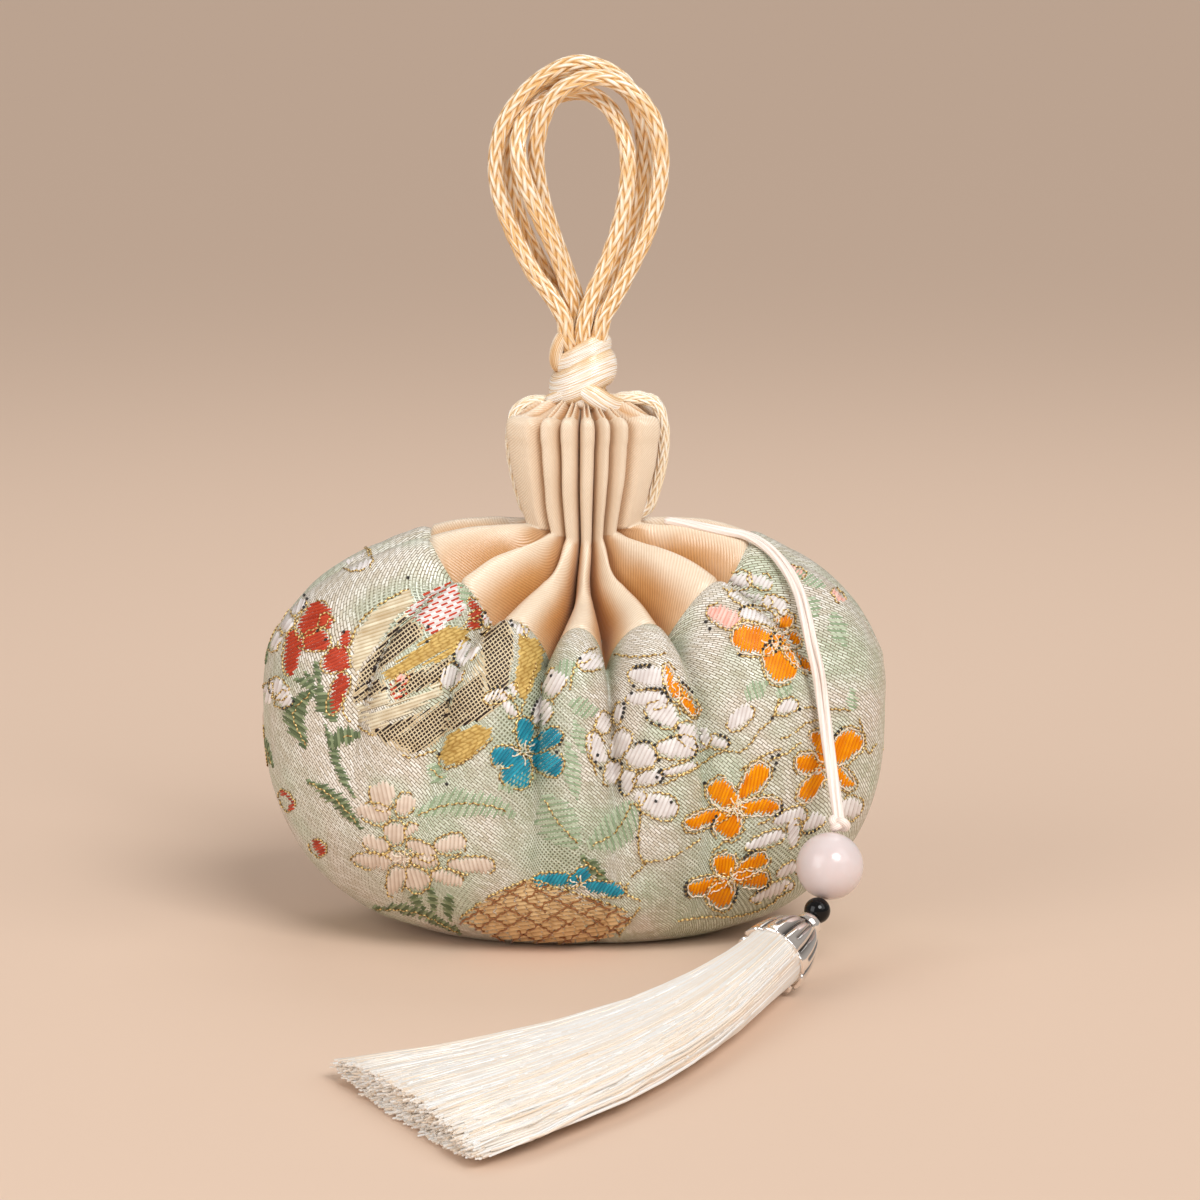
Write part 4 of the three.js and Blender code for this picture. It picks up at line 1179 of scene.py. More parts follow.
def makeBead(name, node, diameter, axis, middle, rings, stone):
    bm = bmesh.new()
    reach = math.acos(pendant["bore"] / diameter)
    place = axisFrame(axis, middle)
    outside = 0.9      # share of the rows on the ball; the rest line the bore

    def bored(u, v):
        angle = u * fullTurn
        turned = lerp(-reach, reach, clamp(v / outside))
        radius, height = diameter / 2 * math.cos(turned), diameter / 2 * math.sin(turned)
        if v > outside:
            height = lerp(height, -height, (v - outside) / (1 - outside))
        return place @ (polar(radius, angle, height) * mm)
    gridPatch(bm, rings * 2, rings, bored)
    return makePiece(name, bm, [stone], body=node, replaces=[node])


def capRadius(depth):
    # smooth outer radius of the bell at a depth under its top
    neck = pendant["capCollarLength"]
    share = clamp((depth - neck) / (pendant["capLength"] - neck))
    return lerp(pendant["capCollar"], pendant["capRim"], math.sin(share * math.pi / 2) ** 0.8) / 2


def capOutline():
    # radius, depth and whether it is fluted, along the wall: the bell from its lip up, collar, bore, inside
    long, wall, neck = pendant["capLength"], pendant["capWall"], pendant["capCollarLength"]
    ring, bore = pendant["capCollar"] / 2, pendant["bore"] / 2
    outline = []
    for i in range(41):
        depth = lerp(long, neck + wall, i / 40)
        outline.append((capRadius(depth), depth, 1))
    for wide, deep in ((0.84, 1), (0.98, 0.9), (1, 0.6), (0.97, 0.3)):
        outline.append((ring * wide, neck * deep, 0))
    outline += [(ring * 0.84, 0.05, 0), (ring * 0.8, 0, 0), (bore, 0, 0), (bore, neck + wall, 0)]
    for i in range(11):
        depth = lerp(neck + 2 * wall, long - 0.5, i / 10)
        outline.append((capRadius(depth) - wall - pendant["capFlute"], depth, 0))
    return [*outline, outline[0]]


def capSlot(phase, share, width):
    # 1 along the narrow slot down the middle of a lobe
    ends = smooth((pendant["slotTo"] - share) / 0.1) * smooth((share - pendant["slotFrom"]) / 0.1)
    return math.exp(-((phase - 0.5) / width) ** 2) * ends


def makeCap(silver):
    bm = bmesh.new()
    place = axisFrame(capAxis, capTop)
    long, neck = pendant["capLength"], pendant["capCollarLength"]
    outline = capOutline()
    last = len(outline) - 1

    def fluted(u, v):
        radius, depth, flute = outline[round(v * last)]
        angle = u * fullTurn
        phase = u * pendant["capLobes"] % 1
        valley = (1 - math.sin(math.pi * phase)) ** 3
        if flute:
            share = (depth - neck) / (long - neck)
            rim = smooth((share - pendant["lipFrom"]) / (1 - pendant["lipFrom"]))
            radius += pendant["capBelly"] * math.sin(math.pi * phase) * smooth(share * 3) * (1 - rim)
            radius -= pendant["slotDepth"] * capSlot(phase, share, pendant["slotWidth"])
            radius -= pendant["capFlute"] * valley * smooth(share * 2.5)
            radius += pendant["capFlare"] * rim ** 2 * (1 - valley)
            depth -= pendant["capLip"] * valley * rim
        return place @ (polar(radius, angle, -depth) * mm)

    def groove(u, v):       # painted reflection: the slots and the valleys are painted dark, as dark reflections in them
        depth, flute = outline[round(v * last)][1:]
        phase = u * pendant["capLobes"] % 1
        share = (depth - neck) / (long - neck)
        valley = (1 - math.sin(math.pi * phase)) ** 2 * smooth(share * 2.5)
        valley *= 1 - smooth((share - 0.9) / 0.1)
        return flute * max(0.8 * capSlot(phase, share, pendant["paintedSlotWidth"]), valley)
    gridPatch(bm, pendant["capLobes"] * pendant["capLobeColumns"], last, fluted, marks=("groove", groove))
    return makePiece("silver_cap", bm, [silver], replaces=["tassel_cap"])


# tassel: cut threads that leave the cap, settle on the table and fan out

tassel = {
    "length": 103, "endWidth": 54, "endThickness": 5, "headingStart": 250, "headingEnd": 214, "fit": 0.3,
    "threads": 1250, "tips": 1300, "thread": 0.56, "steps": 12, "tipSteps": 3, "tipOverlap": 0.03,
    "table": 0.3, "ragged": 1.8, "slant": 0.07, "stray": 0.045, "ripple": 0.014, "seed": 7,
    # coreTone is painted shade on the core seen between the threads, coreEndTone painted light on its cut end
    "core": 0.94, "coreEnd": 0.99, "coreColumns": 48, "coreRows": 26, "coreTone": 0.1, "coreEndTone": 0.9,
    "headDepths": (6, 9, 12), "stations": 12, "settledAt": 0.4, "fan": 1.5,      # the bundle's course
    "threadReach": (0.95, 1.01), "tipReach": (0.0, 0.9), "cutSpread": (-1.0, 0.3), "cutTaper": 0.35,
    "goldenTurn": 0.618034, "flatSway": 0.35,
}


def tasselFrames():
    # middle, sideways, up, half width and half thickness at even shares, from inside the cap to the cut end
    rimRadius = capRadius(pendant["capLength"]) - pendant["capWall"] - tassel["fit"]
    frames = []
    for depth in tassel["headDepths"]:
        radius = capRadius(depth) - pendant["capWall"] - tassel["fit"]
        side = upright.cross(capAxis).normalized()
        frames.append((capTop + capAxis * depth, side, capAxis.cross(side), radius, radius))
    middle = capRim.copy()
    count = tassel["stations"]
    for i in range(1, count + 1):
        share = i / count
        settle = 1 - smooth(share / tassel["settledAt"])
        turned = lerp(tassel["headingStart"], tassel["headingEnd"], share)
        ahead = heading(turned, pendant["capDrop"] * settle)
        halfWidth = lerp(rimRadius, tassel["endWidth"] / 2, share ** tassel["fan"])
        halfThickness = lerp(rimRadius, tassel["endThickness"] / 2, share)
        middle = middle + ahead * tassel["length"] / count
        middle.z = lerp(halfThickness, capRim.z, settle)
        side = upright.cross(ahead).normalized()
        frames.append((middle.copy(), side, ahead.cross(side), halfWidth, halfThickness))
    return frames


def makeTassel(thread):
    frames = tasselFrames()
    last = len(frames) - 1

    def inBundle(share, across, upwards):
        at = clamp(share) * last
        i = min(int(at), last - 1)
        low, high = frames[i], frames[i + 1]
        middle, side, lift, halfWidth, halfThickness = (lerp(a, b, at - i) for a, b in zip(low, high))
        point = middle + side * halfWidth * across + lift * halfThickness * upwards
        if share > 1:
            point += (high[0] - low[0]).normalized() * (share - 1) * tassel["length"]
        point.z = max(point.z, tassel["table"])
        return point * mm

    def slanted(across):      # how far the cut end falls short on one side
        return tassel["slant"] * (1 - across) / 2

    def core(u, v):           # packed threads inside, so that no gap is seen through
        reach = 0 if v in (0, 1) else tassel["core"]
        across = reach * math.cos(u * fullTurn)
        return inBundle(v * (tassel["coreEnd"] - slanted(across)), across, reach * math.sin(u * fullTurn))

    # painted shade where the core shows between the threads, painted light on its cut end
    def coreTone(u, v):
        return tassel["coreTone"] if v < 0.97 else tassel["coreEndTone"]
    bm = bmesh.new()
    gridPatch(bm, tassel["coreColumns"], tassel["coreRows"], core, (40, 100), marks=("strand", coreTone))
    dice = random.Random(tassel["seed"])
    half = tassel["thread"] / 2 * mm
    for k in range(tassel["threads"] + tassel["tips"]):
        tip = k >= tassel["threads"]        # the short ends of the inner threads, past the core
        pace = tassel["tipSteps"] if tip else tassel["steps"]
        angle = fullTurn * (k * tassel["goldenTurn"] % 1)
        reach = dice.uniform(*tassel["tipReach" if tip else "threadReach"])
        reach = math.sqrt(reach) if tip else reach
        across, upwards = reach * math.cos(angle), reach * math.sin(angle)
        ragged = dice.uniform(*tassel["cutSpread"]) * tassel["ragged"]
        end = 1 + ragged / tassel["length"] - slanted(across)
        begin = tassel["coreEnd"] - slanted(across) - tassel["tipOverlap"] if tip else 0
        sway = [dice.gauss(0, tassel["stray"]) for _ in range(4)]
        points = []
        for i in range(pace + 1):
            share = lerp(begin, end, i / pace)
            loose = smooth(share * 1.4)
            ripple = tassel["ripple"] * loose * (-1 if i % 2 else 1) * sway[2] / tassel["stray"]
            aside = loose * (sway[0] * share + sway[1] * math.sin(5 * share + k)) + ripple
            above = loose * tassel["flatSway"] * (sway[2] * share + sway[3] * math.sin(6 * share + 2 * k))
            points.append(inBundle(share, across + aside, upwards + above))

        def section(i):       # a little thinner at the cut
            thin = half * (1 - tassel["cutTaper"] * smooth((i / pace - 0.8) / 0.2))
            return thin, thin
        pale = dice.random()
        tubeAlong(bm, routeFrames(points, upright), lambda i: (0, 0, 0), section, 3, (1, 100),
                  marks=("strand", lambda u, v: pale))
    return makePiece("cut_tassel", bm, [thread], replaces=["tassel_skirt"])


def threadMaterial(name, light, dark, roughness=0.45, pitch=0.25):
    material = newMaterial(name, light, roughness, Sheen_Weight=0.2)
    places = uvPlaces(material)
    fibres = threadLines(material, places, pitch, "X", 0.8)
    dye(material, fibres, dark, light)
    emboss(material, fibres, 0.00005, 0.5)
    return material


def tasselMaterial():
    # cream silk, no two threads quite alike
    material = newMaterial("creamTassel", tone(255, 248, 238), 0.4, Sheen_Weight=0.2)
    strand = mark(material, "strand")
    dye(material, strand, tone(250, 231, 208), tone(255, 254, 251))
    emboss(material, threadLines(material, uvPlaces(material), 0.25, "X", 0.8), 0.00005, 0.5)
    return material


def roseStone():
    material = newMaterial("roseQuartz", tone(240, 226, 223), 0.16, IOR=1.5, Subsurface_Weight=1.0,
                           Subsurface_Radius=(0.012, 0.01, 0.01))
    cloud = clouds(material, objectPlaces(material), 160.0, 3.0)
    dye(material, cloud, tone(218, 204, 203), tone(230, 219, 218))
    return material


def blackStone():
    material = newMaterial("blackOnyx", tone(9, 9, 11), 0.04, Specular_IOR_Level=0.3)
    cloud = clouds(material, objectPlaces(material), 300.0)
    dye(material, cloud, tone(5, 5, 6), tone(13, 13, 15))
    return material


def silverMetal():
    material = newMaterial("polishedSilver", tone(226, 223, 220), 0.12, Metallic=1.0)
    # painted dark reflections in the cap's slots and valleys
    groove = mark(material, "groove")
    dye(material, groove, tone(250, 247, 244), tone(74, 68, 64))
    film = clouds(material, objectPlaces(material), 400.0, 3.0)
    feed(material, "Roughness", stretch(material, film, 0, 1, 0.06, 0.16))
    return material


# brocade motifs: floats of silk thread, laid on the cloth where the photo shows them

sewing = {
    "pixel": 0.000185,       # metres of cloth to a photo pixel
    "fullness": 1.18, "pitch": 4.1, "finePitch": 3.3, "step": 5.5, "dashStep": 2.0, "ragged": 2.2,
    "rise": 0.27, "seat": 0.0, "edge": -0.08, "backing": 0.1, "longest": 2.4,
    "stitch": 2.2, "couching": 0.21, "couchingLift": 0.17, "unbroken": 0.93, "outset": 4,
    "dot": 0.72, "dotLift": 0.16, "dotChance": 0.45, "strandsInHeart": 10, "turnSpread": 12,
    "leafTurn": 62, "leafWidth": 1.55, "leafPitch": 3.4, "leafStep": 4,
    "sparse": {"mintSilk": {"seat": -0.06, "rise": 0.16}},
    "lattice": (32, -28), "latticePitch": 15, "latticeShortest": 6, "latticeWidth": 0.26,
    "darkest": {"tealSilk": 0.12, "coralSilk": 0.12, "marigoldSilk": 0.25}, "plainDarkest": 0.5, "seed": 11,
}

# petals: middle and size in photo pixels, and the turn of the long side in degrees from the right
petals = {
    "lilacSilk": [
        (357, 560, 26, 20, 20), (351, 545, 16, 6, 40), (299, 606, 20, 9, 60), (288, 624, 18, 10, 60),
        (275, 641, 20, 10, 75), (279, 688, 20, 15, -60), (284, 700, 16, 14, 30), (268, 694, 20, 9, 80),
        (492, 618, 22, 15, 30), (519, 626, 20, 11, -60), (465, 653, 25, 18, 60), (451, 677, 25, 18, 60),
        (496, 696, 22, 13, 20), (508, 705, 24, 10, -60), (513, 690, 14, 7, 90), (554, 684, 29, 17, 60),
        (542, 713, 26, 17, 65), (591, 661, 24, 18, 20), (648, 677, 34, 20, -8), (647, 699, 36, 17, 0),
        (662, 714, 29, 22, -20), (693, 735, 32, 22, -25), (603, 723, 20, 14, 80), (619, 713, 20, 8, 80),
        (596, 748, 30, 16, -75), (620, 745, 30, 16, 65), (641, 756, 26, 22, 20), (676, 748, 34, 21, 5),
        (612, 773, 24, 15, 70), (628, 782, 22, 13, 75), (648, 778, 26, 14, 20), (679, 769, 32, 9, 17),
        (714, 741, 26, 12, -15), (657, 805, 36, 22, -15), (640, 798, 14, 10, 60), (740, 718, 28, 16, 50),
        (737, 582, 26, 16, 20), (760, 581, 22, 14, -20), (750, 599, 38, 15, -15), (776, 605, 24, 15, -30),
        (760, 616, 36, 17, -10), (786, 707, 20, 13, 30), (790, 817, 30, 15, 20), (765, 840, 36, 13, 20),
        (793, 833, 26, 12, 80), (813, 822, 24, 13, 40), (788, 870, 22, 12, 30), (772, 891, 40, 13, 25),
        (851, 808, 22, 17, 70),
    ],
    "creamSilk": [
        (383, 796, 26, 21, 100), (374, 813, 30, 18, -15), (405, 805, 22, 16, 70), (395, 833, 22, 18, 100),
        (376, 844, 24, 15, -25), (372, 861, 34, 15, -8), (396, 881, 28, 16, 80), (416, 878, 26, 20, -50),
        (447, 878, 28, 16, -20), (471, 865, 40, 16, -3), (450, 844, 28, 18, 10), (421, 849, 28, 14, -30),
        (425, 861, 24, 13, -10), (398, 858, 22, 13, -20), (411, 830, 14, 10, 60),
    ],
    "marigoldSilk": [
        (755, 640, 38, 25, 170), (779, 663, 34, 26, -65), (786, 640, 24, 15, 10), (797, 659, 30, 10, -40),
        (783, 624, 20, 13, 60), (671, 682, 30, 9, -75), (685, 698, 34, 10, -55), (691, 707, 20, 9, -40),
        (724, 795, 30, 22, 130), (753, 782, 38, 17, 57), (757, 807, 38, 15, 5), (729, 823, 28, 21, -113),
        (707, 818, 40, 13, 200), (726, 867, 24, 19, 110), (750, 866, 34, 14, 34), (749, 879, 32, 15, 0),
        (722, 893, 26, 20, -120), (708, 885, 36, 14, 195), (820, 747, 28, 13, 105), (844, 748, 36, 21, 50),
        (811, 764, 26, 18, 180), (812, 785, 34, 13, 235), (840, 774, 32, 12, -50),
    ],
    "coralSilk": [
        (313, 620, 36, 21, 45), (326, 622, 14, 12, 60), (315, 641, 28, 19, 10), (293, 653, 40, 16, 80),
        (345, 641, 18, 11, 70), (336, 661, 27, 21, 30), (338, 694, 38, 15, 70), (287, 800, 20, 11, -60),
        (318, 847, 16, 13, -40), (474, 606, 16, 12, -40), (477, 616, 14, 10, 0), (473, 624, 16, 10, 20),
    ],
    "blushSilk": [
        (724, 616, 30, 20, -20), (797, 572, 16, 8, -30), (838, 596, 16, 8, -50), (402, 679, 12, 10, 30),
    ],
    "tealSilk": [
        (525, 733, 28, 16, 86), (545, 741, 34, 16, 30), (547, 762, 30, 21, -20), (517, 771, 30, 26, -107),
        (506, 756, 26, 19, 190), (555, 880, 40, 14, 184), (579, 877, 26, 12, 40), (602, 888, 40, 13, -8),
    ],
}
# leaves: points along the middle, the widest width, the silk, and whether a gold midrib is laid on it
leaves = [
    ([(314, 690), (294, 714), (308, 749)], 16, "leafSilk", True),
    ([(316, 686), (325, 704), (338, 721)], 15, "leafSilk", False),
    ([(294, 679), (315, 688)], 9, "leafSilk", False), ([(314, 661), (321, 686)], 9, "leafSilk", False),
    ([(304, 671), (316, 688)], 7, "leafSilk", False),
    ([(361, 734), (338, 739), (333, 753)], 14, "leafSilk", True),
    ([(326, 724), (334, 755), (345, 781), (355, 798)], 8, "leafSilk", False),
    ([(307, 780), (337, 800), (362, 829)], 12, "leafSilk", True),
    ([(372, 908), (416, 912), (462, 934)], 11, "leafSilk", True),
    ([(410, 893), (425, 908)], 10, "leafSilk", False), ([(428, 887), (436, 911)], 10, "leafSilk", False),
    ([(448, 894), (450, 921)], 11, "leafSilk", False), ([(404, 931), (437, 934)], 8, "leafSilk", False),
    ([(414, 816), (451, 804), (488, 805), (516, 815)], 20, "mintSilk", True),
    ([(427, 766), (446, 781)], 15, "mintSilk", True),
    ([(543, 796), (561, 825), (581, 846)], 30, "mintSilk", True),
    ([(588, 847), (617, 830), (634, 800)], 26, "mintSilk", True),
    ([(573, 720), (585, 753)], 12, "mintSilk", False), ([(580, 856), (607, 880)], 12, "leafSilk", True),
    ([(459, 574), (471, 608)], 15, "mintSilk", False), ([(747, 700), (766, 680)], 15, "mintSilk", False),
    ([(779, 700), (790, 684)], 12, "mintSilk", False), ([(555, 674), (578, 664)], 16, "mintSilk", False),
    ([(568, 705), (598, 710)], 16, "mintSilk", False), ([(830, 612), (846, 646)], 15, "mintSilk", False),
    ([(806, 598), (820, 616)], 15, "mintSilk", False), ([(790, 570), (826, 586)], 13, "mintSilk", False),
    ([(322, 570), (344, 552)], 14, "mintSilk", False), ([(850, 688), (855, 712)], 11, "mintSilk", False),
    ([(566, 742), (578, 800)], 15, "mintSilk", False), ([(498, 790), (536, 776)], 13, "mintSilk", False),
]
# woven panels: an upper and a lower edge, and how the cloth between them is woven
panels = [
    ([(351, 668), (350, 645), (357, 627), (370, 612), (389, 599), (408, 589)],
     [(357, 675), (369, 658), (382, 641), (394, 625), (405, 612), (419, 601)], "straw"),
    ([(357, 675), (369, 658), (382, 641), (394, 625), (404, 614)],
     [(352, 698), (380, 672), (406, 653), (426, 636), (424, 626)], "net"),
    ([(379, 675), (406, 653), (428, 637), (451, 624), (473, 628)],
     [(386, 683), (410, 671), (435, 663), (459, 651), (470, 640)], "gold"),
    ([(352, 698), (379, 676), (386, 683)], [(351, 706), (368, 699), (388, 690)], "net"),
    ([(388, 690), (410, 671), (435, 663), (455, 653)], [(396, 704), (414, 694), (438, 683), (448, 674)],
     "net"),
    ([(402, 612), (420, 597), (439, 586), (460, 578)], [(420, 628), (432, 635), (448, 625), (469, 610)],
     "check"),
    ([(388, 686), (409, 674)], [(393, 702), (415, 688)], "check"),
    ([(351, 706), (368, 699), (386, 691)], [(357, 719), (374, 711), (392, 702)], "straw"),
    ([(357, 719), (392, 702), (420, 692), (441, 682)], [(371, 731), (404, 717), (425, 706), (448, 693)],
     "straw"),
    ([(371, 731), (410, 716), (439, 702), (452, 693), (470, 672), (482, 650)],
     [(386, 746), (409, 756), (436, 748), (447, 733), (476, 722), (492, 712)], "net"),
    ([(480, 632), (479, 655), (484, 680), (492, 712)], [(508, 615), (516, 640), (514, 665), (505, 700)],
     "net"),
    ([(437, 755), (449, 734), (479, 722), (494, 728)], [(443, 768), (460, 764), (480, 750), (493, 738)],
     "gold"),
    ([(518, 634), (518, 660), (511, 690)], [(549, 641), (542, 668), (525, 704)], "gold"),
    ([(458, 919), (486, 898), (513, 885), (532, 879), (559, 888), (593, 898), (628, 911)],
     [(462, 927), (483, 937), (512, 943), (547, 945), (583, 942), (614, 936), (632, 924)], "basket"),
]
# gold thread along the edges of the grounds
couchedLines = [
    [(639, 790), (641, 815), (639, 836), (641, 858), (646, 862), (630, 879), (627, 893), (641, 902),
     (630, 920), (619, 935)],
    [(659, 787), (696, 767), (724, 751), (742, 751), (760, 730), (772, 718), (779, 698)],
    [(804, 707), (832, 709), (855, 712), (861, 725), (868, 753), (878, 740)],
    [(613, 654), (634, 657), (666, 654)],
    [(678, 920), (710, 916), (735, 916), (770, 904), (793, 877)],
    [(705, 858), (724, 842), (747, 829), (770, 819)],
    [(343, 694), (345, 716), (369, 733), (390, 748), (409, 757), (436, 750)],
    [(536, 663), (525, 698), (513, 733)],
    [(351, 668), (350, 645), (357, 627), (370, 612), (389, 599), (408, 589)],
    [(482, 640), (500, 610), (516, 616), (527, 640)],
    [(437, 755), (443, 768), (460, 764), (480, 750), (493, 738)], [(349, 545), (362, 543), (370, 556)],
    [(770, 742), (790, 735), (806, 723), (818, 720)], [(740, 770), (760, 757), (781, 748)],
    [(590, 660), (575, 668), (570, 690)],
    [(458, 919), (486, 898), (513, 885), (532, 879), (559, 888), (593, 898), (628, 911)],
    [(770, 760), (788, 752), (800, 742)],
    [(640, 862), (668, 858), (690, 846), (700, 838)], [(596, 775), (590, 750), (594, 728), (600, 712)],
]
blackDots = [
    (706, 622), (710, 629), (740, 655), (636, 668), (641, 667), (649, 667), (632, 693), (634, 686),
    (662, 693), (647, 718), (652, 723), (659, 725), (678, 728), (655, 745), (656, 755), (659, 760),
    (671, 737), (680, 737), (659, 772), (657, 777), (597, 755), (595, 762), (600, 768), (656, 801),
    (671, 802), (641, 813), (638, 837), (772, 718), (799, 709), (772, 757), (776, 763), (774, 769),
    (778, 755), (704, 783), (408, 578), (439, 754), (447, 784), (560, 744), (557, 752), (562, 740),
    (318, 631), (326, 640), (344, 632), (400, 632), (428, 627), (427, 642), (552, 676), (580, 659),
]
stamens = [   # middle and reach of the strands laid over a flower's heart
    (736, 807, 15), (729, 879, 14), (771, 645, 11), (523, 752, 14), (827, 764, 11), (404, 858, 12),
    (579, 883, 10), (387, 806, 8),
]
# flowers on the sides and the back: view, silk, middle and size in photo pixels, petals, turn
farFlowers = [
    (90, "marigoldSilk", 680, 700, 38, 5, 20), (90, "lilacSilk", 650, 800, 40, 6, 0),
    (90, "coralSilk", 720, 860, 34, 5, 50), (270, "tealSilk", 530, 700, 36, 5, 10),
    (270, "creamSilk", 550, 800, 42, 6, 25), (270, "marigoldSilk", 480, 860, 34, 5, 0),
    (180, "marigoldSilk", 480, 720, 42, 5, 10), (180, "lilacSilk", 600, 700, 46, 6, 0),
    (180, "tealSilk", 720, 730, 40, 5, 30), (180, "creamSilk", 520, 830, 50, 6, 20),
    (180, "coralSilk", 660, 830, 40, 5, 0), (180, "lilacSilk", 770, 820, 42, 6, 15),
    (180, "marigoldSilk", 400, 800, 38, 5, 40), (180, "tealSilk", 590, 900, 34, 5, 0),
]
silkTones = {   # light and dark; the dark also gives painted shade in the dips between floats
    "lilacSilk": ((255, 253, 251), (190, 172, 166)), "creamSilk": ((250, 236, 220), (180, 148, 122)),
    "marigoldSilk": ((255, 170, 4), (206, 76, 0)), "coralSilk": ((218, 84, 54), (126, 26, 14)),
    "blushSilk": ((250, 224, 212), (226, 112, 84)), "tealSilk": ((62, 184, 208), (0, 62, 94)),
    "mintSilk": ((206, 217, 190), (132, 156, 120)), "leafSilk": ((166, 178, 138), (68, 86, 56)),
    "straw": ((255, 249, 224), (158, 118, 48)), "netThread": ((240, 224, 188), (150, 112, 60)),
    "netGround": ((62, 48, 42), (26, 19, 18)), "gold": ((242, 210, 130), (146, 104, 36)),
    "basketCane": ((250, 220, 168), (150, 98, 46)),
}
threadTurn = {   # how a petal's floats lie, in degrees from the right
    "lilacSilk": 66, "creamSilk": 96, "marigoldSilk": 72, "coralSilk": 22, "blushSilk": 60, "tealSilk": 48,
}
weaves = {   # a panel's layers of thread from the cloth up: turn, silk and how they are laid
    "net": [
        (38, "netGround", {"rise": 0.1, "seat": 0.08}),
        (38, "netThread", {"pitch": 3.6, "rise": 0.2, "seat": -0.14}),
        (122, "netThread", {"pitch": 3.6, "rise": 0.17, "seat": -0.14}),
    ],
    "check": [
        (24, "lilacSilk", {"rise": 0.08, "seat": 0.05}),
        (24, "coralSilk", {"pitch": 4.4, "rise": 0.22, "seat": -0.12, "dash": (8, 4)}),
    ],
    "basket": [(8, "basketCane", {"longest": 6, "dash": (9, 2), "darkest": 0.45})],
    "gold": [(30, "gold", {"pitch": 3.4, "seat": 0.05, "dash": (6, 2.5), "darkest": 0.2})],
    "straw": [(18, "straw", {"pitch": 3.4, "darkest": 0.15})],
}
silks = list(silkTones)


def onCloth(tree, spot, lift, azimuth=0):
    # the place on the cloth that a photo pixel looks at, lifted off it by some millimetres
    eye, look = photoRay(*spot, azimuth)
    hit, normal, _, _ = tree.ray_cast(eye, look)
    if hit is None:
        hit, normal, _, _ = tree.find_nearest(eye + look * eye.length)
    return hit + normal * lift * mm


def curvedLine(points, spacing):
    # evenly spaced spots on a smooth line through the given ones
    flat = [Vector((*point, 0)) for point in points]
    dense = smoothRoute(flat, spacing) if len(flat) > 2 else evenRoute(flat, spacing)
    return [point.xy for point in dense]


def bearing(turn):
    # the way ahead and the way across on the photo, for a turn in degrees from the right
    ahead = Vector((math.cos(math.radians(turn)), -math.sin(math.radians(turn))))
    return ahead, Vector((-ahead.y, ahead.x))


def petalOutline(x, y, length, width, turn, corners=20):
    # a blunt petal, a little wider at its tip
    ahead, across = bearing(turn)
    blunt = 2.5
    outline = []
    for i in range(corners):
        along, side = math.cos(fullTurn * i / corners), math.sin(fullTurn * i / corners)
        reach = (abs(along) ** blunt + abs(side) ** blunt) ** (-1 / blunt) * sewing["fullness"] / 2
        spot = Vector((x, y)) + ahead * along * reach * length
        outline.append(spot + across * side * reach * width * (1 + 0.2 * along))
    return outline


def leafOutline(spine, width):
    # a pointed leaf with a toothed edge
    last = len(spine) - 1
    edges = [[], []]
    for i, spot in enumerate(spine):
        ahead = (spine[min(i + 1, last)] - spine[max(i - 1, 0)]).normalized()
        half = width / 2 * math.sin(math.pi * (0.04 + 0.92 * i / last)) ** 0.8 * (1.15 if i % 2 else 0.85)
        for edge, side in zip(edges, (1, -1)):
            edge.append(spot + Vector((-ahead.y, ahead.x)) * side * half)
    return edges[0] + edges[1][::-1]


def threadSpans(outline, turn, pitch):
    # where threads laid at a turn enter and leave an outline: the two ways, the spacing, and each one's
    # level, start and end
    ahead, across = bearing(turn)
    flat = [(spot.dot(ahead), spot.dot(across)) for spot in outline]
    low, high = min(c for _, c in flat), max(c for _, c in flat)
    count = max(2, round((high - low) / pitch))
    spans = []
    for k in range(count):
        level = lerp(low, high, (k + 0.5) / count)
        cuts = sorted(lerp(a, b, (level - c) / (d - c)) for (a, c), (b, d) in zip(flat, flat[1:] + flat[:1])
                      if (c <= level) != (d <= level))
        start, end = max(zip(cuts[::2], cuts[1::2]), key=lambda pair: pair[1] - pair[0])
        spans.append((level, start, end))
    return ahead, across, (high - low) / count, spans


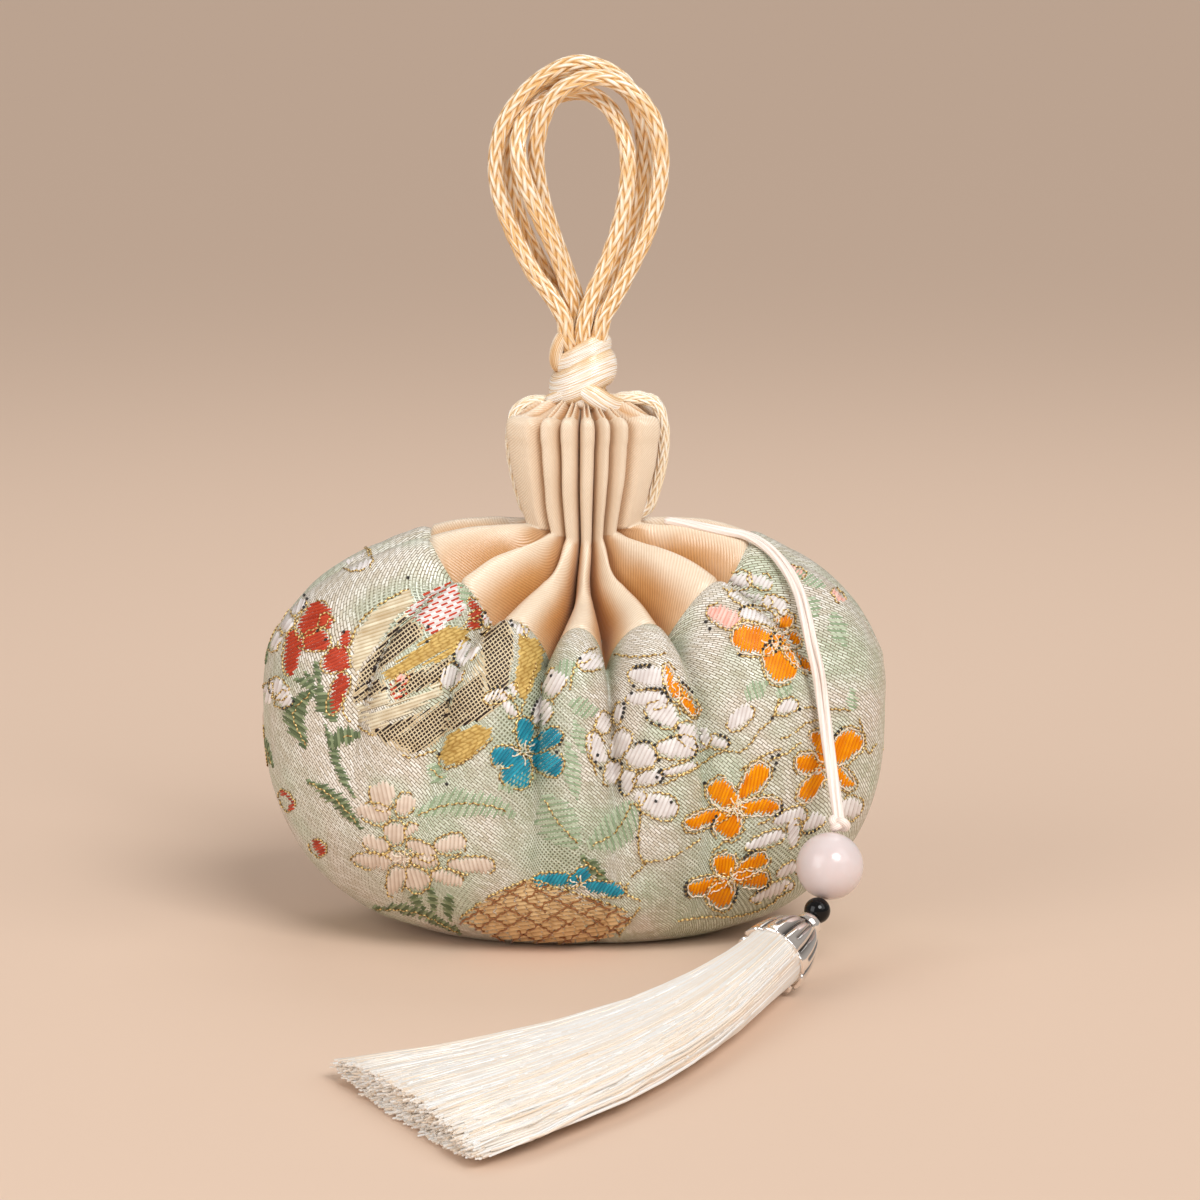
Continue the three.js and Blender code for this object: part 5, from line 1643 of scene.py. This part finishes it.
def layThreads(bm, tree, outline, turn, silk, dice, azimuth=0, pitch=None, rise=None, seat=None, dash=None,
               longest=None, darkest=None, striped=False):
    # threads side by side across an outline, with ragged ends; seat is the height between them
    # dash is the length of a float and of the gap after it
    ahead, across, gap, spans = threadSpans(outline, turn, pitch or sewing["pitch"])
    rise = sewing["rise"] if rise is None else rise
    seat = sewing["seat"] if seat is None else seat
    darkest = sewing["plainDarkest"] if darkest is None else darkest
    ragged = sewing["ragged"]
    crests = []
    for k, (level, start, end) in enumerate(spans):
        pale = dice.uniform(darkest, 1) * (0.02 if striped and k % 2 else 1)
        start += dice.uniform(-ragged, ragged)
        end += dice.uniform(-ragged, ragged)
        crests.append((level, start, end, pale))
    columns = []
    for k in range(len(crests) + 1):
        beside = crests[max(k - 1, 0):k + 1]
        start, end = max(crest[1] for crest in beside), min(crest[2] for crest in beside)
        middle = (start + end) / 2
        level = crests[0][0] - gap / 2 + k * gap
        height = seat if len(beside) == 2 else sewing["edge"]
        # the dip between two floats gets shade 0: painted shade
        columns.append((level, min(start, middle), max(end, middle), height, 0))
        if k < len(crests):
            level, start, end, shade = crests[k]
            columns.append((level, min(start, end), max(start, end), rise, shade))
    last = len(columns) - 1
    longThread = max(end - start for _, start, end, _, _ in columns)
    steps = max(3, round(longThread / sewing["dashStep" if dash else "step"]))

    def gapped(column, along):
        return dash and (along + (column // 2 % 2) * dash[0]) % sum(dash) > dash[0]

    def place(u, v):
        column = round(u * last)
        level, start, end, height, _ = columns[column]
        along = lerp(start, end, v)
        if gapped(column, along):
            height = seat
        lift = lerp(height, sewing["edge"], abs(2 * v - 1) ** 8)
        return onCloth(tree, ahead * along + across * level, lift, azimuth)

    def flat(u, v):
        level, start, end, _, _ = columns[round(u * last)]
        return level * sewing["pixel"], lerp(start, end, v) * sewing["pixel"]

    # painted shade: a tenth of a float's shade in a dashed row's gaps
    def shade(u, v):
        column = round(u * last)
        _, start, end, _, light = columns[column]
        return 0.1 * light if gapped(column, lerp(start, end, v)) else light
    gridPatch(bm, last, steps, place, flat, silks.index(silk), marks=("shade", shade),
              longest=(longest or sewing["longest"]) * mm)


def layStitches(bm, tree, line, width, azimuth=0, material=0):
    # a row of short stitches like beads, broken where a fold hides it
    runs, run = [], []
    for i, spot in enumerate(line):
        ahead = line[min(i + 1, len(line) - 1)] - line[max(i - 1, 0)]
        aside = (0.5 if i % 4 < 2 else -0.5) * (1 + math.sin(7 * i + spot.x))
        step = Vector((-ahead.y, ahead.x)).normalized() * aside
        point = onCloth(tree, spot + step, sewing["couchingLift"], azimuth)
        skipped = math.sin(0.9 * i + spot.y) > sewing["unbroken"]
        if run and (skipped or (point - run[-1]).length > sewing["longest"] * mm):
            runs.append(run)
            run = []
        run.append(point)

    def section(i):
        half = width * mm * (1 - 0.5 * (i % 2))
        return half, half
    for run in [*runs, run]:
        if len(run) > 3:
            flat = (1, routeLength(run) / mm)
            tubeAlong(bm, routeFrames(run), lambda i: (0, 0, 0), section, 5, flat, material)


def closedLine(outline, share=1.0, first=0):
    # the spots along an outline, or along a share of it
    turned = outline[first:] + outline[:first + 1]
    count = max(3, round(len(turned) * share))
    return curvedLine([tuple(spot) for spot in turned[:count]], sewing["stitch"])


def flowerPetals(x, y, size, count, turn):
    ring = []
    for k in range(count):
        towards = turn + 360 * k / count
        angle = math.radians(towards)
        ring.append((x + 0.52 * size * math.cos(angle), y - 0.52 * size * math.sin(angle),
                     0.9 * size, 0.58 * size, towards))
    return ring


def weavePanel(silkWork, cordWork, tree, outline, kind, dice):
    for turn, silk, laid in weaves[kind]:
        layThreads(silkWork, tree, outline, turn, silk, dice, **laid)
    if kind == "basket":       # a lattice of brown thread over the straw rows
        for turn in sewing["lattice"]:
            ahead, across, _, spans = threadSpans(outline, turn, sewing["latticePitch"])
            for level, start, end in spans:
                if end - start > sewing["latticeShortest"]:
                    ends = [tuple(ahead * along + across * level) for along in (start, end)]
                    line = curvedLine(ends, sewing["stitch"])
                    layStitches(cordWork, tree, line, sewing["latticeWidth"], material=1)


def makeEmbroidery(tree):
    silkWork, cordWork, stamenWork, dotWork = bmesh.new(), bmesh.new(), bmesh.new(), bmesh.new()
    dice = random.Random(sewing["seed"])
    gold = sewing["couching"]

    def sewKnot(spot, azimuth=0):
        place = Matrix.Translation(onCloth(tree, spot, sewing["dotLift"], azimuth))
        bmesh.ops.create_icosphere(dotWork, subdivisions=1, radius=sewing["dot"] / 2 * mm, matrix=place)

    def sewPetal(petal, silk, azimuth=0):
        outline = petalOutline(*petal)
        fine = sewing["finePitch"] if silk in sewing["darkest"] else None
        turn = threadTurn[silk] + dice.uniform(-sewing["turnSpread"], sewing["turnSpread"])
        layThreads(silkWork, tree, outline, turn, silk, dice, azimuth, pitch=fine,
                   darkest=sewing["darkest"].get(silk))
        if silk == "marigoldSilk":       # pale stitches inside the gold edge
            layStitches(stamenWork, tree, closedLine(outline), gold * 0.9, azimuth)
            x, y, length, width, turn = petal
            outline = petalOutline(x, y, length + sewing["outset"], width + sewing["outset"], turn)
        edge = closedLine(outline, dice.uniform(0.7, 1), dice.randrange(20))
        layStitches(cordWork, tree, edge, gold, azimuth)
        if silk in ("lilacSilk", "marigoldSilk") and dice.random() < sewing["dotChance"]:
            edge = closedLine(outline, 0.5, dice.randrange(20))       # a short row of black knots
            for spot in edge[:8:2]:
                sewKnot(spot, azimuth)

    def sewLeaf(points, width, silk, ribbed, azimuth=0):
        spine = curvedLine(points, sewing["leafStep"])
        span = spine[-1] - spine[0]
        turn = math.degrees(math.atan2(-span.y, span.x)) + sewing["leafTurn"]    # floats like a comb
        outline = leafOutline(spine, width * sewing["leafWidth"])
        layThreads(silkWork, tree, outline, turn, silk, dice, azimuth, pitch=sewing["leafPitch"],
                   darkest=0.2, striped=True, **sewing["sparse"].get(silk, {}))
        if ribbed:
            layStitches(cordWork, tree, curvedLine(points, sewing["stitch"])[2:-2], gold * 0.9, azimuth)

    def sewHeart(x, y, reach, azimuth=0):
        for k in range(sewing["strandsInHeart"]):
            turn = Vector((math.cos(k * 0.7), math.sin(k * 0.7)))
            spread = 0.7 + 0.15 * (k % 3)
            ends = [tuple(Vector((x, y)) + turn * reach * share * spread) for share in (0.2, 1)]
            layStitches(stamenWork, tree, curvedLine(ends, sewing["stitch"]), gold, azimuth)

    def sewFarFlower(azimuth, silk, x, y, size, count, turn):
        for side, leaf in ((-1, "mintSilk"), (1, "leafSilk")):
            spine = ((0.9, 0.3), (1.4, 0.2), (1.9, 0.5))
            points = [(x + side * along * size, y + down * size) for along, down in spine]
            sewLeaf(points, 0.4 * size, leaf, True, azimuth)
        for petal in flowerPetals(x, y, size, count, turn):
            sewPetal(petal, silk, azimuth)
        sewHeart(x, y, 0.4 * size, azimuth)

    for upper, lower, kind in panels:
        outline = [Vector(spot) for spot in [*upper, *reversed(lower)]]
        weavePanel(silkWork, cordWork, tree, outline, kind, dice)
    for leaf in leaves:
        sewLeaf(*leaf)
    for silk, group in petals.items():
        for petal in group:
            sewPetal(petal, silk)
    for heart in stamens:
        sewHeart(*heart)
    for line in couchedLines:
        layStitches(cordWork, tree, curvedLine(line, sewing["stitch"]), gold * 1.1)
    for flower in farFlowers:
        sewFarFlower(*flower)
    for spot in blackDots:
        sewKnot(spot)
    sewn = makePiece("silk_motifs", silkWork, [silkMaterial(silk) for silk in silks], closed=False)
    backing = sewn.modifiers.new("backing", "SOLIDIFY")
    backing.thickness, backing.offset = sewing["backing"] * mm, -1
    rib = threadMaterial("caneRib", tone(168, 108, 50), tone(120, 70, 26))
    stamen = threadMaterial("paleStamen", tone(255, 248, 236), tone(232, 204, 160))
    blackThread = threadMaterial("blackKnot", tone(44, 34, 30), tone(20, 15, 14))
    makePiece("gold_couching", cordWork, [goldCord(), rib])
    makePiece("pale_stamens", stamenWork, [stamen])
    makePiece("black_knots", dotWork, [blackThread])


def silkMaterial(silk):
    # each float has its own shade, with painted shade in the dips between two and in a dashed row's gaps, and
    # fibres along it
    light, dark = (tone(*shade) for shade in silkTones[silk])
    material = newMaterial(silk, light, 0.4, Specular_IOR_Level=0.14)
    fibres = threadLines(material, uvPlaces(material), 0.00018, "X", 1.0)
    patches = stretch(material, clouds(material, uvPlaces(material), 420.0, 1.0), 0.35, 0.6, 0.7)
    lit = combine(material, "MULTIPLY", combine(material, "POWER", mark(material, "shade"), 0.35), patches)
    dye(material, weigh(material, 0.88, lit, fibres), dark, light)
    emboss(material, fibres, 0.00003, 0.5)
    return material


def goldCord():
    material = newMaterial("couchedGold", tone(214, 174, 98), 0.3, Metallic=0.4)
    rounds = threadLines(material, uvPlaces(material), 0.82, "Y", 0.4)
    dye(material, rounds, tone(124, 84, 32), tone(250, 222, 150))
    emboss(material, rounds, 0.00006, 0.5)
    return material


makeCords(braidMaterial("ivoryBraid", cords["strandWidth"]), braidMaterial("paleBraid", cords["strandWidth"]))
makeKnot(braidMaterial("ivorySatinCord", knot["filament"]))
print("cords are laid and knotted")
body, clothTree = makeBody(brocadeMaterial())
makeEmbroidery(clothTree)
ruffleCollar = makeCollar(satinMaterial())
print("pouch and collar are sewn")
pinkThread = threadMaterial("blushThread", tone(252, 243, 235), tone(238, 218, 206))
makePendantCords(pinkThread)
makeBead("rose_quartz_bead", "rose_bead", pendant["rose"], beadAxis, roseMiddle, pendant["roseRings"],
         roseStone())
makeBead("black_onyx_bead", "black_bead", pendant["black"], spacerAxis, spacerMiddle, pendant["blackRings"],
         blackStone())
makeCap(silverMetal())
makeTassel(tasselMaterial())
print("pendant hangs and the tassel is cut")
